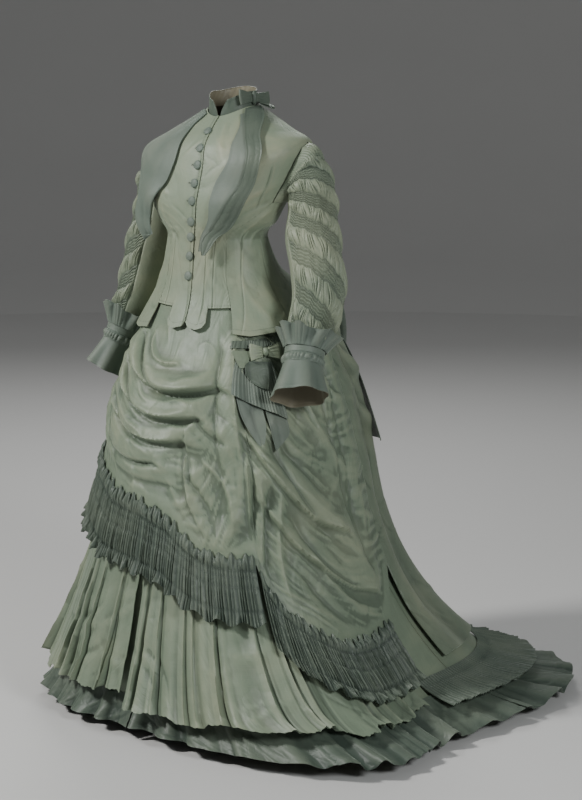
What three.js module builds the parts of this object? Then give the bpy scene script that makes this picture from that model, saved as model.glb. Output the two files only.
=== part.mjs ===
// Trousseau dress of the mid 1870s in two greens of silk taffeta: a fitted basque bodice with smocked
// sleeves, scarf ends and covered buttons over a draped apron overskirt, a pleated walking flounce and
// a train. It keeps the hollow form it has when it is worn. Millimetres, +Z up, the wearer faces -Y and
// the wearer's left is +X. The origin is the middle of the waist, where the wearer holds the dress up.
import * as THREE from "three";

const WAIST_HEIGHT = 1050; // waist above the floor
const CLOTH = 1.6; // wall thickness of one layer of taffeta and its mounting
const RAD = Math.PI / 180;

const LIGHT_GREEN = { color: 0x8f9c80, roughness: 0.55, metalness: 0 };
const DARK_GREEN = { color: 0x4d6253, roughness: 0.5, metalness: 0 };
const SHADE_GREEN = { color: 0x6d7c66, roughness: 0.52, metalness: 0 };

const dress = new THREE.Group();

// ---------------------------------------------------------------- small maths

const clamp = (x, low, high) => Math.min(high, Math.max(low, x));
const mix = (a, b, t) => a + (b - a) * t;
const smooth = (low, high, x) => {
  const t = clamp((x - low) / (high - low), 0, 1);
  return t * t * (3 - 2 * t);
};
const steps = (from, to, count) =>
  Array.from({ length: count + 1 }, (_, i) => from + ((to - from) * i) / count);
const wave = (turns) => Math.sin(2 * Math.PI * turns);

// One column of a table at a fractional row, on a Catmull-Rom curve through its rows.
function column(rows, name, at) {
  const last = rows.length - 1;
  const u = clamp(at, 0, last);
  const i = Math.min(Math.floor(u), last - 1);
  const t = u - i;
  const value = (k) => rows[clamp(k, 0, last)][name];
  const [a, b, c, d] = [value(i - 1), value(i), value(i + 1), value(i + 2)];
  return (
    0.5 *
    (2 * b + (c - a) * t + (2 * a - 5 * b + 4 * c - d) * t * t + (3 * b - a - 3 * c + d) * t * t * t)
  );
}

// Straight interpolation in a table of { at, value } rows.
function lookup(rows, at) {
  if (at <= rows[0].at) return rows[0].value;
  for (let i = 1; i < rows.length; i++) {
    const [a, b] = [rows[i - 1], rows[i]];
    if (at <= b.at) return mix(a.value, b.value, (at - a.at) / (b.at - a.at));
  }
  return rows[rows.length - 1].value;
}

const rowsOf = (names, table) =>
  table.map((row) => Object.fromEntries(names.map((name, i) => [name, row[i]])));

// ---------------------------------------------------------------- cloth walls

// Unit normals of a grid of points; rows run down the cloth and columns to the wearer's left, seen from
// outside on the front, so the normals point away from the wearer.
function gridNormals(points, closed) {
  const rows = points.length;
  const cols = points[0].length;
  return points.map((row, i) =>
    row.map((_, j) => {
      const up = points[Math.max(i - 1, 0)][j];
      const down = points[Math.min(i + 1, rows - 1)][j];
      const left = row[closed ? (j + cols - 1) % cols : Math.max(j - 1, 0)];
      const right = row[closed ? (j + 1) % cols : Math.min(j + 1, cols - 1)];
      const along = new THREE.Vector3().subVectors(right, left);
      const fall = new THREE.Vector3().subVectors(down, up);
      return new THREE.Vector3().crossVectors(fall, along).normalize();
    }),
  );
}

const pushed = (points, distance, closed) => {
  const normals = gridNormals(points, closed);
  return points.map((row, i) =>
    row.map((p, j) => p.clone().addScaledVector(normals[i][j], distance)),
  );
};

// A closed wall between an outer and an inner grid of the same size.
function wallGeometry(outer, inner, closed) {
  const rows = outer.length;
  const cols = outer[0].length;
  const positions = [...outer.flat(), ...inner.flat()].flatMap((p) => [p.x, p.y, p.z]);
  const index = [];
  const out = (i, j) => i * cols + (j % cols);
  const ins = (i, j) => rows * cols + out(i, j);
  const quad = (a, b, c, d) => index.push(a, b, c, a, c, d);
  const span = closed ? cols : cols - 1;
  for (let i = 0; i < rows - 1; i++) {
    for (let j = 0; j < span; j++) {
      quad(out(i, j), out(i + 1, j), out(i + 1, j + 1), out(i, j + 1));
      quad(ins(i, j), ins(i, j + 1), ins(i + 1, j + 1), ins(i + 1, j));
    }
  }
  for (let j = 0; j < span; j++) {
    quad(out(0, j), out(0, j + 1), ins(0, j + 1), ins(0, j));
    quad(out(rows - 1, j + 1), out(rows - 1, j), ins(rows - 1, j), ins(rows - 1, j + 1));
  }
  if (!closed) {
    for (let i = 0; i < rows - 1; i++) {
      quad(out(i + 1, 0), out(i, 0), ins(i, 0), ins(i + 1, 0));
      quad(out(i, cols - 1), out(i + 1, cols - 1), ins(i + 1, cols - 1), ins(i, cols - 1));
    }
  }
  const geometry = new THREE.BufferGeometry();
  geometry.setAttribute("position", new THREE.Float32BufferAttribute(positions, 3));
  geometry.setIndex(index);
  geometry.computeVertexNormals();
  return geometry;
}

function addPiece(name, geometry, finish) {
  const mesh = new THREE.Mesh(geometry, new THREE.MeshStandardMaterial(finish));
  mesh.name = name;
  dress.add(mesh);
  return mesh;
}

// Cloth whose outer face is the grid. plain gives the inside its own, smoother face; inner is the inside
// itself, for panels that meet edge to edge and must turn in together.
function addCloth(name, outer, finish, options = {}) {
  const { closed = false, thickness = CLOTH, plain = outer, inner = null } = options;
  return addPiece(name, wallGeometry(outer, inner ?? pushed(plain, -thickness, closed), closed), finish);
}

// ---------------------------------------------------------------- the skirt's form

// One row for each level of the skirt under the apron: how far it reaches to the front, the wearer's
// left and right and the back, its height above the floor there, how square its corners are, and how
// far the back is swept to the wearer's left.
const SKIRT = rowsOf(
  ["front", "left", "right", "back", "frontUp", "sideUp", "backUp", "cornerL", "cornerR", "cornerB", "sweep"],
  [
    [-88, 115, -109, 85, 1058, 1058, 1058, 0.0, 0.0, 0.0, 0],
    [-94, 130, -123, 132, 975, 975, 985, 0.01, 0.01, 0.01, 0],
    [-106, 168, -150, 232, 895, 895, 915, 0.02, 0.02, 0.02, 0],
    [-138, 202, -178, 296, 815, 815, 840, 0.02, 0.02, 0.02, 0],
    [-186, 238, -204, 345, 710, 710, 735, 0.03, 0.02, 0.02, 0],
    [-218, 274, -234, 380, 580, 580, 600, 0.04, 0.02, 0.02, 0],
    [-250, 314, -270, 392, 430, 430, 450, 0.06, 0.02, 0.02, 10],
    [-274, 362, -305, 430, 300, 300, 310, 0.1, 0.02, 0.03, 30],
    [-294, 426, -345, 500, 180, 180, 180, 0.14, 0.02, 0.06, 60],
    [-306, 502, -380, 582, 88, 78, 68, 0.18, 0.02, 0.13, 95],
    [-312, 588, -400, 664, 44, 22, 14, 0.22, 0.02, 0.2, 130],
  ],
);

// The point at an angle round the wearer (0 at the front, 90 at the wearer's left) and a row.
function onSkirt(angle, row) {
  const at = Object.fromEntries(Object.keys(SKIRT[0]).map((name) => [name, column(SKIRT, name, row)]));
  const s = Math.sin(angle * RAD);
  const c = Math.cos(angle * RAD);
  const corner = c > 0 ? (s > 0 ? at.cornerL : at.cornerR) : at.cornerB;
  const square = 1 + corner * Math.sin(2 * angle * RAD) ** 2;
  const x = (s > 0 ? at.left * s : -at.right * s) * square + (c < 0 ? at.sweep * c * c : 0);
  const y = (c > 0 ? at.front * c : -at.back * c) * square;
  const up = mix(at.sideUp, c > 0 ? at.frontUp : at.backUp, c * c);
  return new THREE.Vector3(x, y, up - WAIST_HEIGHT);
}

function skirtNormal(angle, row) {
  const d = 0.4;
  const low = clamp(row - d, 0, 10);
  const high = clamp(row + d, 0, 10);
  const around = new THREE.Vector3().subVectors(onSkirt(angle + 2, row), onSkirt(angle - 2, row));
  const fall = new THREE.Vector3().subVectors(onSkirt(angle, high), onSkirt(angle, low));
  return new THREE.Vector3().crossVectors(fall, around).normalize();
}

// A point stood off the skirt. Rows past the last one run on along the hem's own slope.
function offSkirt(angle, row, off) {
  const normal = skirtNormal(angle, row);
  const point = onSkirt(angle, row).addScaledVector(normal, off);
  if (row > 10) {
    const slope = new THREE.Vector3().subVectors(onSkirt(angle, 10), onSkirt(angle, 9.7));
    point.addScaledVector(slope, (row - 10) / 0.3);
  }
  return point;
}

// A panel on the skirt: angles across, rows down, and how far it stands off at each.
const skirtPanel = (angles, rowCount, topRow, bottomRow, off) =>
  steps(0, 1, rowCount).map((v) =>
    angles.map((angle) => {
      const row = mix(topRow(angle), bottomRow(angle), v);
      return offSkirt(angle, row, off(angle, row, v));
    }),
  );

const FLOOR = -WAIST_HEIGHT;
// Keeps every point of a grid above the floor by a clearance.
const aboveFloor = (points, clearance) => {
  points.flat().forEach((p) => {
    p.z = Math.max(p.z, FLOOR + clearance);
  });
  return points;
};

// ---------------------------------------------------------------- skirt pieces

const GORES = rowsOf(
  ["name", "from", "to", "columns"],
  [
    ["skirt_front_gore", -44, 44, 7],
    ["skirt_side_gore_left", 44, 112, 6],
    ["skirt_side_gore_right", -112, -44, 5],
    ["skirt_train_back", 112, 248, 12],
  ],
);
const GORE_ROWS = [0, 1, 2, 3.4, 4.8, 6, 7, 7.9, 8.6, 9.15, 9.6]; // closer together where the skirt flares
const GORE_GAP = 0.12; // half the seam gap between gores at the waist, in degrees

for (const gore of GORES) {
  const angles = steps(gore.from + GORE_GAP, gore.to - GORE_GAP, gore.columns);
  const face = (off) =>
    aboveFloor(GORE_ROWS.map((row) => angles.map((angle) => offSkirt(angle, row, off))), 4 + off);
  addCloth(gore.name, face(0), LIGHT_GREEN, { inner: face(-CLOTH) });
}

// The waistband sits on top of the gores.
const BAND = { top: 1076, bottom: 1058.4, wider: 0.5, columns: 18 };
{
  const ring = (up) =>
    steps(0, 360, BAND.columns)
      .slice(0, -1)
      .map((angle) => {
        const p = onSkirt(angle - 180, 0);
        return p.multiplyScalar(1 + BAND.wider / 100).setZ(up - WAIST_HEIGHT);
      });
  const rows = [ring(BAND.top), ring(BAND.bottom)];
  addCloth("waistband", rows, LIGHT_GREEN, { closed: true, thickness: 2.4 });
}

// The apron's lower edge, as skirt rows at angles round the wearer: two swags, the second lower.
const SWAG_RIGHT = rowsOf(
  ["at", "value"],
  [
    [-112, 4.6], [-85, 4.85], [-60, 5.1], [-31, 5.36], [-18, 5.54], [1, 5.64],
    [14, 5.8], [23, 6.08], [30, 6.24], [38, 6.3], [48, 6.32],
  ],
);
const SWAG_LEFT = rowsOf(
  ["at", "value"],
  [
    [48, 6.5], [52, 6.92], [56, 7.2], [62, 7.46], [68, 7.68],
    [76, 7.82], [90, 7.84], [98, 7.74], [106, 7.2], [114, 6.6],
  ],
);
const STEP_ANGLE = 48; // where the two swags meet
const apronEdge = (angle) => lookup(angle < STEP_ANGLE ? SWAG_RIGHT : SWAG_LEFT, angle);

// Box-pleated walking flounce: two lengths that meet left of the front, the right one shorter.
const FLOUNCES = rowsOf(
  ["name", "from", "to", "pleats", "bottomRow"],
  [
    ["walking_flounce_right", -112.2, 3.2, 12, 8.95],
    ["walking_flounce_left", 3.8, 97, 12, 9.32],
  ],
);
const FLOUNCE = { top: 6.4, length: 2.55 }; // first row and full length in rows
const flounceTop = (angle) => Math.max(FLOUNCE.top, apronEdge(angle) + 0.15);
// A box pleat is a flat face, a return and a flat recess.
const BOX_PLEAT = [
  { at: 0.04, lift: 0 },
  { at: 0.14, lift: 1 },
  { at: 0.62, lift: 1 },
  { at: 0.72, lift: 0 },
];
for (const f of FLOUNCES) {
  const pitch = (f.to - f.from) / f.pleats;
  const columns = steps(0, f.pleats - 1, f.pleats - 1).flatMap((n) =>
    BOX_PLEAT.map((k) => ({ angle: f.from + (n + k.at) * pitch, lift: k.lift, n })),
  );
  const face = steps(0, 1, 2).map((v) =>
    columns.map(({ angle, lift, n }) => {
      const uneven = 0.75 + 0.3 * wave(n * 0.37 + 0.1);
      const top = flounceTop(angle);
      const row = mix(top, f.bottomRow + 0.1 * wave(n * 0.61), v);
      const down = (row - top) / FLOUNCE.length;
      const depth = (2 + 15 * down) * uneven * lift;
      return offSkirt(angle, row, 3.2 + 34 * down ** 1.3 + depth);
    }),
  );
  addCloth(f.name, face, LIGHT_GREEN);
}

// Dark hem ruffle on the lowest edge, all the way round the train.
const HEM = rowsOf(
  ["name", "from", "to", "waves", "stand"],
  [
    ["hem_ruffle_right", -114, 3, 11, 4.2],
    ["hem_ruffle_left", 3.4, 112, 12, 6.4],
    ["hem_ruffle_train", 112.4, 245.6, 15, 5.1],
  ],
);
for (const h of HEM) {
  const columns = steps(0, 1, h.waves * 4);
  const face = steps(0, 1, 2).map((v) =>
    columns.map((u) => {
      const angle = mix(h.from, h.to, u);
      const uneven = 0.7 + 0.3 * wave(u * h.waves * 0.23);
      const turn = wave(u * h.waves + 0.25);
      const onTrain = smooth(100, 130, angle);
      const row = mix(mix(9.02, 9.45, onTrain), 10.18, v);
      const off = mix(h.stand, 26, v) + (2 + 9 * v) * uneven * turn;
      return offSkirt(angle, row, off + 6 * onTrain * v);
    }),
  );
  addCloth(h.name, aboveFloor(face, 2.4), DARK_GREEN);
}

// ---------------------------------------------------------------- overskirt

// The largest folds: a line from one place on the skirt to another, sagging between them, with its
// width and height in millimetres. A negative height is a trough.
const FOLDS = rowsOf(
  ["a0", "r0", "a1", "r1", "sag", "width", "height"],
  [
    [-40, 2.2, 26, 3.7, 0.7, 24, 13],
    [-40, 3.2, 22, 4.1, 0.55, 20, 13],
    [-45, 4.0, 16, 4.55, 0.4, 18, 11],
    [-48, 4.7, 8, 5.05, 0.35, 16, 9],
    [24, 4.2, 38, 6.0, -0.5, 20, 12],
    [16, 4.7, 34, 6.1, -0.4, 16, -8],
    [41, 2.2, 43, 4.6, 0.0, 22, 13],
    [50, 5.05, 90, 5.95, -0.15, 26, 16],
    [88, 5.9, 101, 7.1, -0.1, 26, 14],
    [62, 4.2, 52, 5.2, 0.1, 26, 8],
    [108, 2.4, 104, 6.2, 0.0, 26, 14],
    [92, 2.4, 96, 5.4, 0.0, 22, 8],
    [-80, 2.0, -60, 4.8, 0.2, 26, 9],
    [-104, 2.2, -92, 4.6, 0.1, 26, 10],
  ],
);
const SKIRT_ROW_LENGTH = 110; // typical distance between two rows of the skirt table

// How far the folds lift the apron at a place.
function foldLift(angle, row) {
  const around = 4.4; // millimetres in one degree round the skirt, at the knee
  let lift = 0;
  for (const f of FOLDS) {
    const dx = (f.a1 - f.a0) * around;
    const dy = (f.r1 - f.r0) * SKIRT_ROW_LENGTH;
    const px = (angle - f.a0) * around;
    const py = (row - f.r0) * SKIRT_ROW_LENGTH;
    const length = Math.hypot(dx, dy);
    const t = (px * dx + py * dy) / (length * length);
    const sag = f.sag * SKIRT_ROW_LENGTH * 4 * clamp(t, 0, 1) * (1 - clamp(t, 0, 1));
    const away = (py * dx - px * dy) / length - sag;
    const along = smooth(-0.15, 0.12, t) * (1 - smooth(0.88, 1.15, t));
    lift += f.height * along * Math.exp(-((away / f.width) ** 2));
  }
  return clamp(lift, -8, 20);
}

const apronStand = (row) => mix(3.5, 21, smooth(0, 3.2, row));
function apronOff(angle, row) {
  const calm = smooth(2.3, 3.1, row) * (1 - smooth(apronEdge(angle) - 0.75, apronEdge(angle) - 0.2, row));
  return apronStand(row) + calm * foldLift(angle, row);
}

const APRON = { from: -112, to: 112.5, rows: 13 };
// Columns stand close together where one swag steps down to the next.
const apronAngles = [
  ...steps(APRON.from, STEP_ANGLE - 0.4, 19),
  ...steps(STEP_ANGLE + 0.4, APRON.to, 9),
];
addCloth(
  "apron_overskirt",
  skirtPanel(apronAngles, APRON.rows, () => 0.06, apronEdge, apronOff),
  LIGHT_GREEN,
);

// Finely pleated flounces with a gathered heading on the apron's edge.
const PLISSE = rowsOf(
  ["name", "from", "to", "pleats", "depth", "stand"],
  [
    ["apron_flounce_right", -110, 47.2, 38, 0.94, 1.5],
    ["apron_flounce_left", 48.4, 99, 20, 1.04, 1.9],
  ],
);
const plisseDepth = { top: 3.2, bottom: 5.5 }; // pleat height from valley to ridge
for (const f of PLISSE) {
  const swag = f.name.endsWith("right") ? SWAG_RIGHT : SWAG_LEFT;
  const columns = steps(0, f.pleats * 2, f.pleats * 2);
  const face = steps(0, 1, 1).map((v) =>
    columns.map((k) => {
      const angle = mix(f.from, f.to, k / (f.pleats * 2));
      const top = lookup(swag, angle) - 0.12;
      const row = mix(top, top + f.depth + 0.12, v);
      const ridge = k % 2 ? mix(plisseDepth.top, plisseDepth.bottom, v) : 0;
      const stand = apronStand(row) + CLOTH + f.stand + 5 * v;
      return offSkirt(angle, row, stand + ridge);
    }),
  );
  addCloth(f.name, face, DARK_GREEN);
}

// The back of the overskirt falls from the bustle on to the train.
const BACK = { from: 113.2, to: 246.8, columns: 19, bottom: 8.5 };
const BACK_ROWS = [0.06, 0.35, 0.7, 1.1, 1.6, 2.3, 3.3, 4.7, 6.6, BACK.bottom];
addCloth(
  "overskirt_back",
  BACK_ROWS.map((row) =>
    steps(BACK.from, BACK.to, BACK.columns).map((angle) => {
      const folds = 7 * smooth(2.4, 3.6, row) * wave((angle - BACK.from) / 19);
      return offSkirt(angle, row, apronStand(row) * (1 - (0.35 * row) / BACK.bottom) + folds);
    }),
  ),
  SHADE_GREEN,
);

// Pleated flounce of the train, between the back's lower edge and the hem ruffle.
const TRAIN_FLOUNCE = { from: 99.6, to: 245.4, pleats: 28, top: 8.68, bottom: 9.5, stand: 3.7 };
{
  const t = TRAIN_FLOUNCE;
  const face = steps(0, 1, 1).map((v) =>
    steps(0, t.pleats * 2, t.pleats * 2).map((k) => {
      const angle = mix(t.from, t.to, k / (t.pleats * 2));
      const row = mix(t.top, t.bottom, v);
      const ridge = k % 2 ? 7 * v : 0;
      return offSkirt(angle, row, mix(t.stand, 30, v) + ridge);
    }),
  );
  addCloth("train_flounce", aboveFloor(face, 12), DARK_GREEN);
}

// ---------------------------------------------------------------- the bodice's form

// Rings of the bodice from the neck down to just over the waist: how far each reaches from its own middle
// to the front, the back and the sides, where the middle is, its height at the front, side and back, and
// how much lower the wearer's right shoulder lies.
const TORSO = rowsOf(
  ["front", "back", "half", "midX", "midY", "frontUp", "sideUp", "backUp", "square", "dropRight"],
  [
    [58, 54, 56, 8, 50, 1318, 1340, 1350, 0, 0],
    [88, 66, 98, 4, 56, 1294, 1316, 1330, 0.02, 4],
    [122, 72, 152, 0, 60, 1256, 1291, 1296, 0.05, 11],
    [142, 76, 203, 0, 64, 1212, 1263, 1250, 0.06, 14],
    [140, 84, 192, 0, 52, 1172, 1200, 1195, 0.05, 6],
    [118, 84, 166, 0, 24, 1136, 1140, 1140, 0.03, 0],
    [104, 88, 148, 0, 8, 1096, 1096, 1096, 0.01, 0],
  ],
);
const WAIST_LEVEL = TORSO.length; // the ring at the waist; the ones below it follow the skirt
const BUST = { angle: 36, level: 5, lift: 13, across: 17, down: 0.8 };
// From the face of the apron to the face of the basque, which springs out a little at its edge.
const basqueStand = (row) => 4 + 7 * smooth(1.3, 2.6, row);

function bodiceRing(angle, ring) {
  if (ring >= WAIST_LEVEL) {
    const row = ring - WAIST_LEVEL;
    return offSkirt(angle, row, apronStand(row) + basqueStand(row));
  }
  const at = TORSO[ring];
  const s = Math.sin(angle * RAD);
  const c = Math.cos(angle * RAD);
  const square = 1 + at.square * Math.sin(2 * angle * RAD) ** 2;
  const drop = s < 0 ? at.dropRight * s * s : 0;
  const up = mix(at.sideUp, c > 0 ? at.frontUp : at.backUp, c * c) - drop;
  const reach = c > 0 ? at.front : at.back;
  return new THREE.Vector3(
    at.midX + at.half * s * square,
    at.midY - reach * c * square,
    up - WAIST_HEIGHT,
  );
}

// The point of the bodice at an angle and level; level 0 is the neck edge.
function onBodice(angle, level) {
  const turned = angle > 180 ? angle - 360 : angle;
  if (level >= WAIST_LEVEL) return bodiceRing(turned, level);
  const ring = Math.floor(level);
  const [a, b, c, d] = [-1, 0, 1, 2].map((k) => bodiceRing(turned, Math.max(ring + k, 0)));
  const t = level - ring;
  const p = new THREE.Vector3();
  for (const axis of ["x", "y", "z"]) {
    const rows = [a, b, c, d].map((q) => ({ [axis]: q[axis] }));
    p[axis] = column(rows, axis, 1 + t);
  }
  const across = (Math.abs(turned) - BUST.angle) / BUST.across;
  const down = (level - BUST.level) / BUST.down;
  const bust = BUST.lift * Math.exp(-(across ** 2) - down ** 2);
  p.y -= bust * 0.8;
  p.x += bust * 0.3 * Math.sign(turned);
  return p;
}

function bodiceNormal(angle, level) {
  const around = new THREE.Vector3().subVectors(onBodice(angle + 2, level), onBodice(angle - 2, level));
  const fall = new THREE.Vector3().subVectors(
    onBodice(angle, level + 0.15),
    onBodice(angle, Math.max(level - 0.15, 0)),
  );
  return new THREE.Vector3().crossVectors(fall, around).normalize();
}
const offBodice = (angle, level, off) =>
  onBodice(angle, level).addScaledVector(bodiceNormal(angle, level), off);

// ---------------------------------------------------------------- bodice pieces

const CLOSING = 7.5; // angle where the wearer's right front laps over the left
const UNDERARM = 5.05; // level of the bottom of the armhole
// The seam between front and side body runs up into the front of the armhole, and the seam between the
// back and the side body into the back of it. The right one lies nearer the front below the bust.
const FRONT_EDGE = rowsOf(
  ["at", "value", "right"],
  [
    [3, 90, 90], [3.15, 81, 81], [3.5, 76, 76], [4, 74, 74], [4.5, 74.5, 74.5], [UNDERARM, 76, 76],
    [5.5, 67, 64], [6, 58, 53], [6.5, 50, 43], [7, 45, 35], [8, 41.4, 28],
  ],
);
const BACK_EDGE = rowsOf(
  ["at", "value"],
  [
    [3, 90], [3.15, 99], [3.5, 104], [4, 106], [4.5, 105.5], [UNDERARM, 104], [5.5, 106], [6, 109],
    [6.5, 112], [7, 115], [8, 117],
  ],
);
const RIGHT_EDGE = FRONT_EDGE.map((row) => ({ at: row.at, value: row.right }));
const frontEdge = (side) => (side > 0 ? FRONT_EDGE : RIGHT_EDGE);

// The basque's lower edge across each panel, by share of its width: rounded tabs at the front, short
// next to them and long over the hips.
const EDGE_COLUMNS = ["at", "value"];
const TAB = { inner: 0.45, outer: 0.47 }; // where the front tab steps up to the short part
const FRONT_BASQUE = rowsOf(EDGE_COLUMNS, [
  [0, 9.28], [0.07, 9.42], [0.24, 9.5], [0.38, 9.43], [TAB.inner, 9.28], [TAB.outer, 8.84], [1, 8.82],
]);
const SIDE_BASQUE = rowsOf(EDGE_COLUMNS, [[0, 9.56], [0.15, 9.62], [0.5, 9.5], [0.8, 9.3], [1, 9.1]]);
const BACK_BASQUE = rowsOf(EDGE_COLUMNS, [[0, 9.05], [0.25, 8.9], [0.5, 9.0], [0.75, 8.9], [1, 9.05]]);

const UPPER_LEVELS = [0, 0.7, 1.5, 2.3, 3, 3.15, 3.5, 4, 4.5, UNDERARM, 5.5, 6, 6.5, 7, 7.6, 8.3];
const SIDE_LEVELS = UPPER_LEVELS.filter((level) => level >= UNDERARM);
const LOWER_ROWS = 3; // rows from the last of those levels to the basque's edge
const HALF_GAP = 0.13; // half the seam gap of the bodice, in degrees

// A bodice panel between two edges that depend on the level, with columns at shares of its width.
function addBodicePanel(name, levels, fromEdge, toEdge, shares, basque) {
  const last = levels[levels.length - 1];
  const face = (off) => {
    const place = (share, level) =>
      offBodice(mix(fromEdge(level), toEdge(level), share), level, off);
    const upper = levels.map((level) => shares.map((share) => place(share, level)));
    const lower = steps(0, 1, LOWER_ROWS)
      .slice(1)
      .map((v) => shares.map((share) => place(share, mix(last, lookup(basque, share), v))));
    return [...upper, ...lower];
  };
  addCloth(name, face(0), LIGHT_GREEN, { inner: face(-CLOTH) });
}

const frontShares = [0, 0.07, 0.24, TAB.inner, TAB.outer, 0.64, 0.82, 1];
for (const [name, side] of [["left", 1], ["right", -1]]) {
  const order = (shares) => (side > 0 ? shares : [...shares].reverse());
  const closing = CLOSING + side * HALF_GAP;
  addBodicePanel(
    `bodice_front_${name}`,
    UPPER_LEVELS,
    () => closing,
    (level) => side * (lookup(frontEdge(side), level) - HALF_GAP),
    order(frontShares),
    FRONT_BASQUE,
  );
  addBodicePanel(
    `bodice_side_${name}`,
    SIDE_LEVELS,
    (level) => side * (lookup(frontEdge(side), level) + HALF_GAP),
    (level) => side * (lookup(BACK_EDGE, level) - HALF_GAP),
    order([0, 0.14, 0.3, 0.46, 0.63, 0.81, 1]),
    SIDE_BASQUE,
  );
}
addBodicePanel(
  "bodice_back",
  UPPER_LEVELS,
  (level) => lookup(BACK_EDGE, level) + HALF_GAP,
  (level) => 360 - lookup(BACK_EDGE, level) - HALF_GAP,
  steps(0, 1, 10),
  BACK_BASQUE,
);

// Nine covered buttons down the front, each seated on the cloth.
const BUTTON = { angle: 3.6, radius: 10.2, height: 5.6, sides: 8 };
const BUTTONS = rowsOf(
  ["level", "stand"],
  [
    [1.24, 0.2], [2.12, 0.1], [2.92, 0.4], [3.88, 0.4], [4.92, 0.35], [6.04, 0.6], [6.95, 1.1],
    [7.52, 1.0], [7.98, 1.5],
  ],
);
BUTTONS.forEach(({ level, stand }, i) => {
  const profile = [[0, 0], [0.86, 0], [1, 0.35], [0.72, 0.82], [0, 1]].map(
    ([r, h]) => new THREE.Vector2(r * BUTTON.radius, h * BUTTON.height),
  );
  const geometry = new THREE.LatheGeometry(profile, BUTTON.sides);
  const normal = bodiceNormal(BUTTON.angle, level);
  geometry.applyQuaternion(
    new THREE.Quaternion().setFromUnitVectors(new THREE.Vector3(0, 1, 0), normal),
  );
  const at = offBodice(BUTTON.angle, level, stand);
  geometry.translate(at.x, at.y, at.z);
  addPiece(`button_${i + 1}`, geometry, DARK_GREEN);
});

// ---------------------------------------------------------------- neck pieces

// Cloth laid on the form: rows down it, each from one angle to another and so far off the form there.
function addLaid(name, place, rows, columns, finish, { rowCount = rows.length - 1, lift = null } = {}) {
  const grid = steps(0, rows.length - 1, rowCount).map((at) =>
    steps(0, 1, columns).map((u) => {
      const value = (key) => column(rows, key, at);
      const off = mix(value("offFrom"), value("offTo"), u) + (lift ? lift(u, at) : 0);
      return place(mix(value("from"), value("to"), u), mix(value("level"), value("levelTo"), u), off);
    }),
  );
  return addCloth(name, grid, finish);
}
const LAID = ["level", "from", "offFrom", "levelTo", "to", "offTo"];

// The stand collar, open at the front.
const COLLAR = { height: 32, inside: 0.958, below: 3, opening: 4, top: 22, columns: 16 };
{
  const rows = [1, 0.5, 0].map((v) => {
    const cut = mix(COLLAR.opening, COLLAR.top, v * v);
    return steps(CLOSING - 3 + cut, CLOSING - 3 + 360 - cut, COLLAR.columns).map((angle) => {
      const base = onBodice(angle > 180 ? angle - 360 : angle, 0);
      const middle = new THREE.Vector3(TORSO[0].midX, TORSO[0].midY, base.z);
      const p = middle.clone().lerp(base, COLLAR.inside - 0.03 * v);
      p.z += mix(-COLLAR.below, COLLAR.height, v);
      return p;
    });
  });
  addCloth("collar", rows, DARK_GREEN);
}

// Pointed scarf ends of dark silk that hang from under the collar.
addLaid(
  "scarf_end_right",
  offBodice,
  rowsOf(LAID, [
    [0.15, -56, 4, 0.15, -32, 3],
    [0.9, -58, 4, 0.9, -27, 4],
    [1.8, -59, 5, 1.8, -20, 5],
    [2.8, -58, 11, 2.8, -15, 6],
    [3.7, -60, 20, 3.8, -19, 6],
    [4.6, -59, 34, 4.7, -29, 9],
    [5.4, -58, 47, 5.5, -40, 16],
    [6.2, -59, 54, 6.3, -46, 30],
    [6.9, -59, 56, 7.0, -51, 43],
    [7.4, -57.5, 54, 7.45, -54.5, 50],
  ]),
  3,
  DARK_GREEN,
);
addLaid(
  "scarf_end_left_under",
  offBodice,
  rowsOf(LAID, [
    [0.5, 50, 3, 0.5, 68, 3],
    [1.3, 42, 3, 1.3, 58, 3],
    [2.2, 31, 3, 2.2, 48, 3],
    [3.0, 25, 3, 3.0, 44, 3],
    [3.9, 20, 3.5, 3.9, 43, 3],
    [4.9, 20, 4, 4.9, 41, 3],
    [5.8, 21.5, 8, 5.8, 35, 6],
    [6.7, 19.5, 15, 6.7, 27, 14],
    [7.4, 17.5, 20, 7.4, 20, 20],
  ]),
  4,
  DARK_GREEN,
  { rowCount: 14 },
);
addLaid(
  "scarf_end_left_over",
  offBodice,
  rowsOf(LAID, [
    [0.3, 62, 7, 0.3, 98, 7],
    [0.9, 51, 7, 0.9, 82, 7],
    [1.9, 44, 7, 1.9, 58, 7],
    [3.1, 37.5, 7, 3.1, 47, 7],
    [4.2, 37.5, 7, 4.2, 48, 6.5],
    [5.1, 34, 8, 5.1, 47.5, 7],
    [5.9, 28.5, 12, 5.9, 45, 9],
    [6.6, 25, 18, 6.6, 40, 14],
    [7.2, 21, 24, 7.2, 32, 21],
    [7.5, 22, 26, 7.5, 25, 25],
  ]),
  3,
  DARK_GREEN,
  { rowCount: 15 },
);

// ---------------------------------------------------------------- sleeves and cuffs

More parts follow.
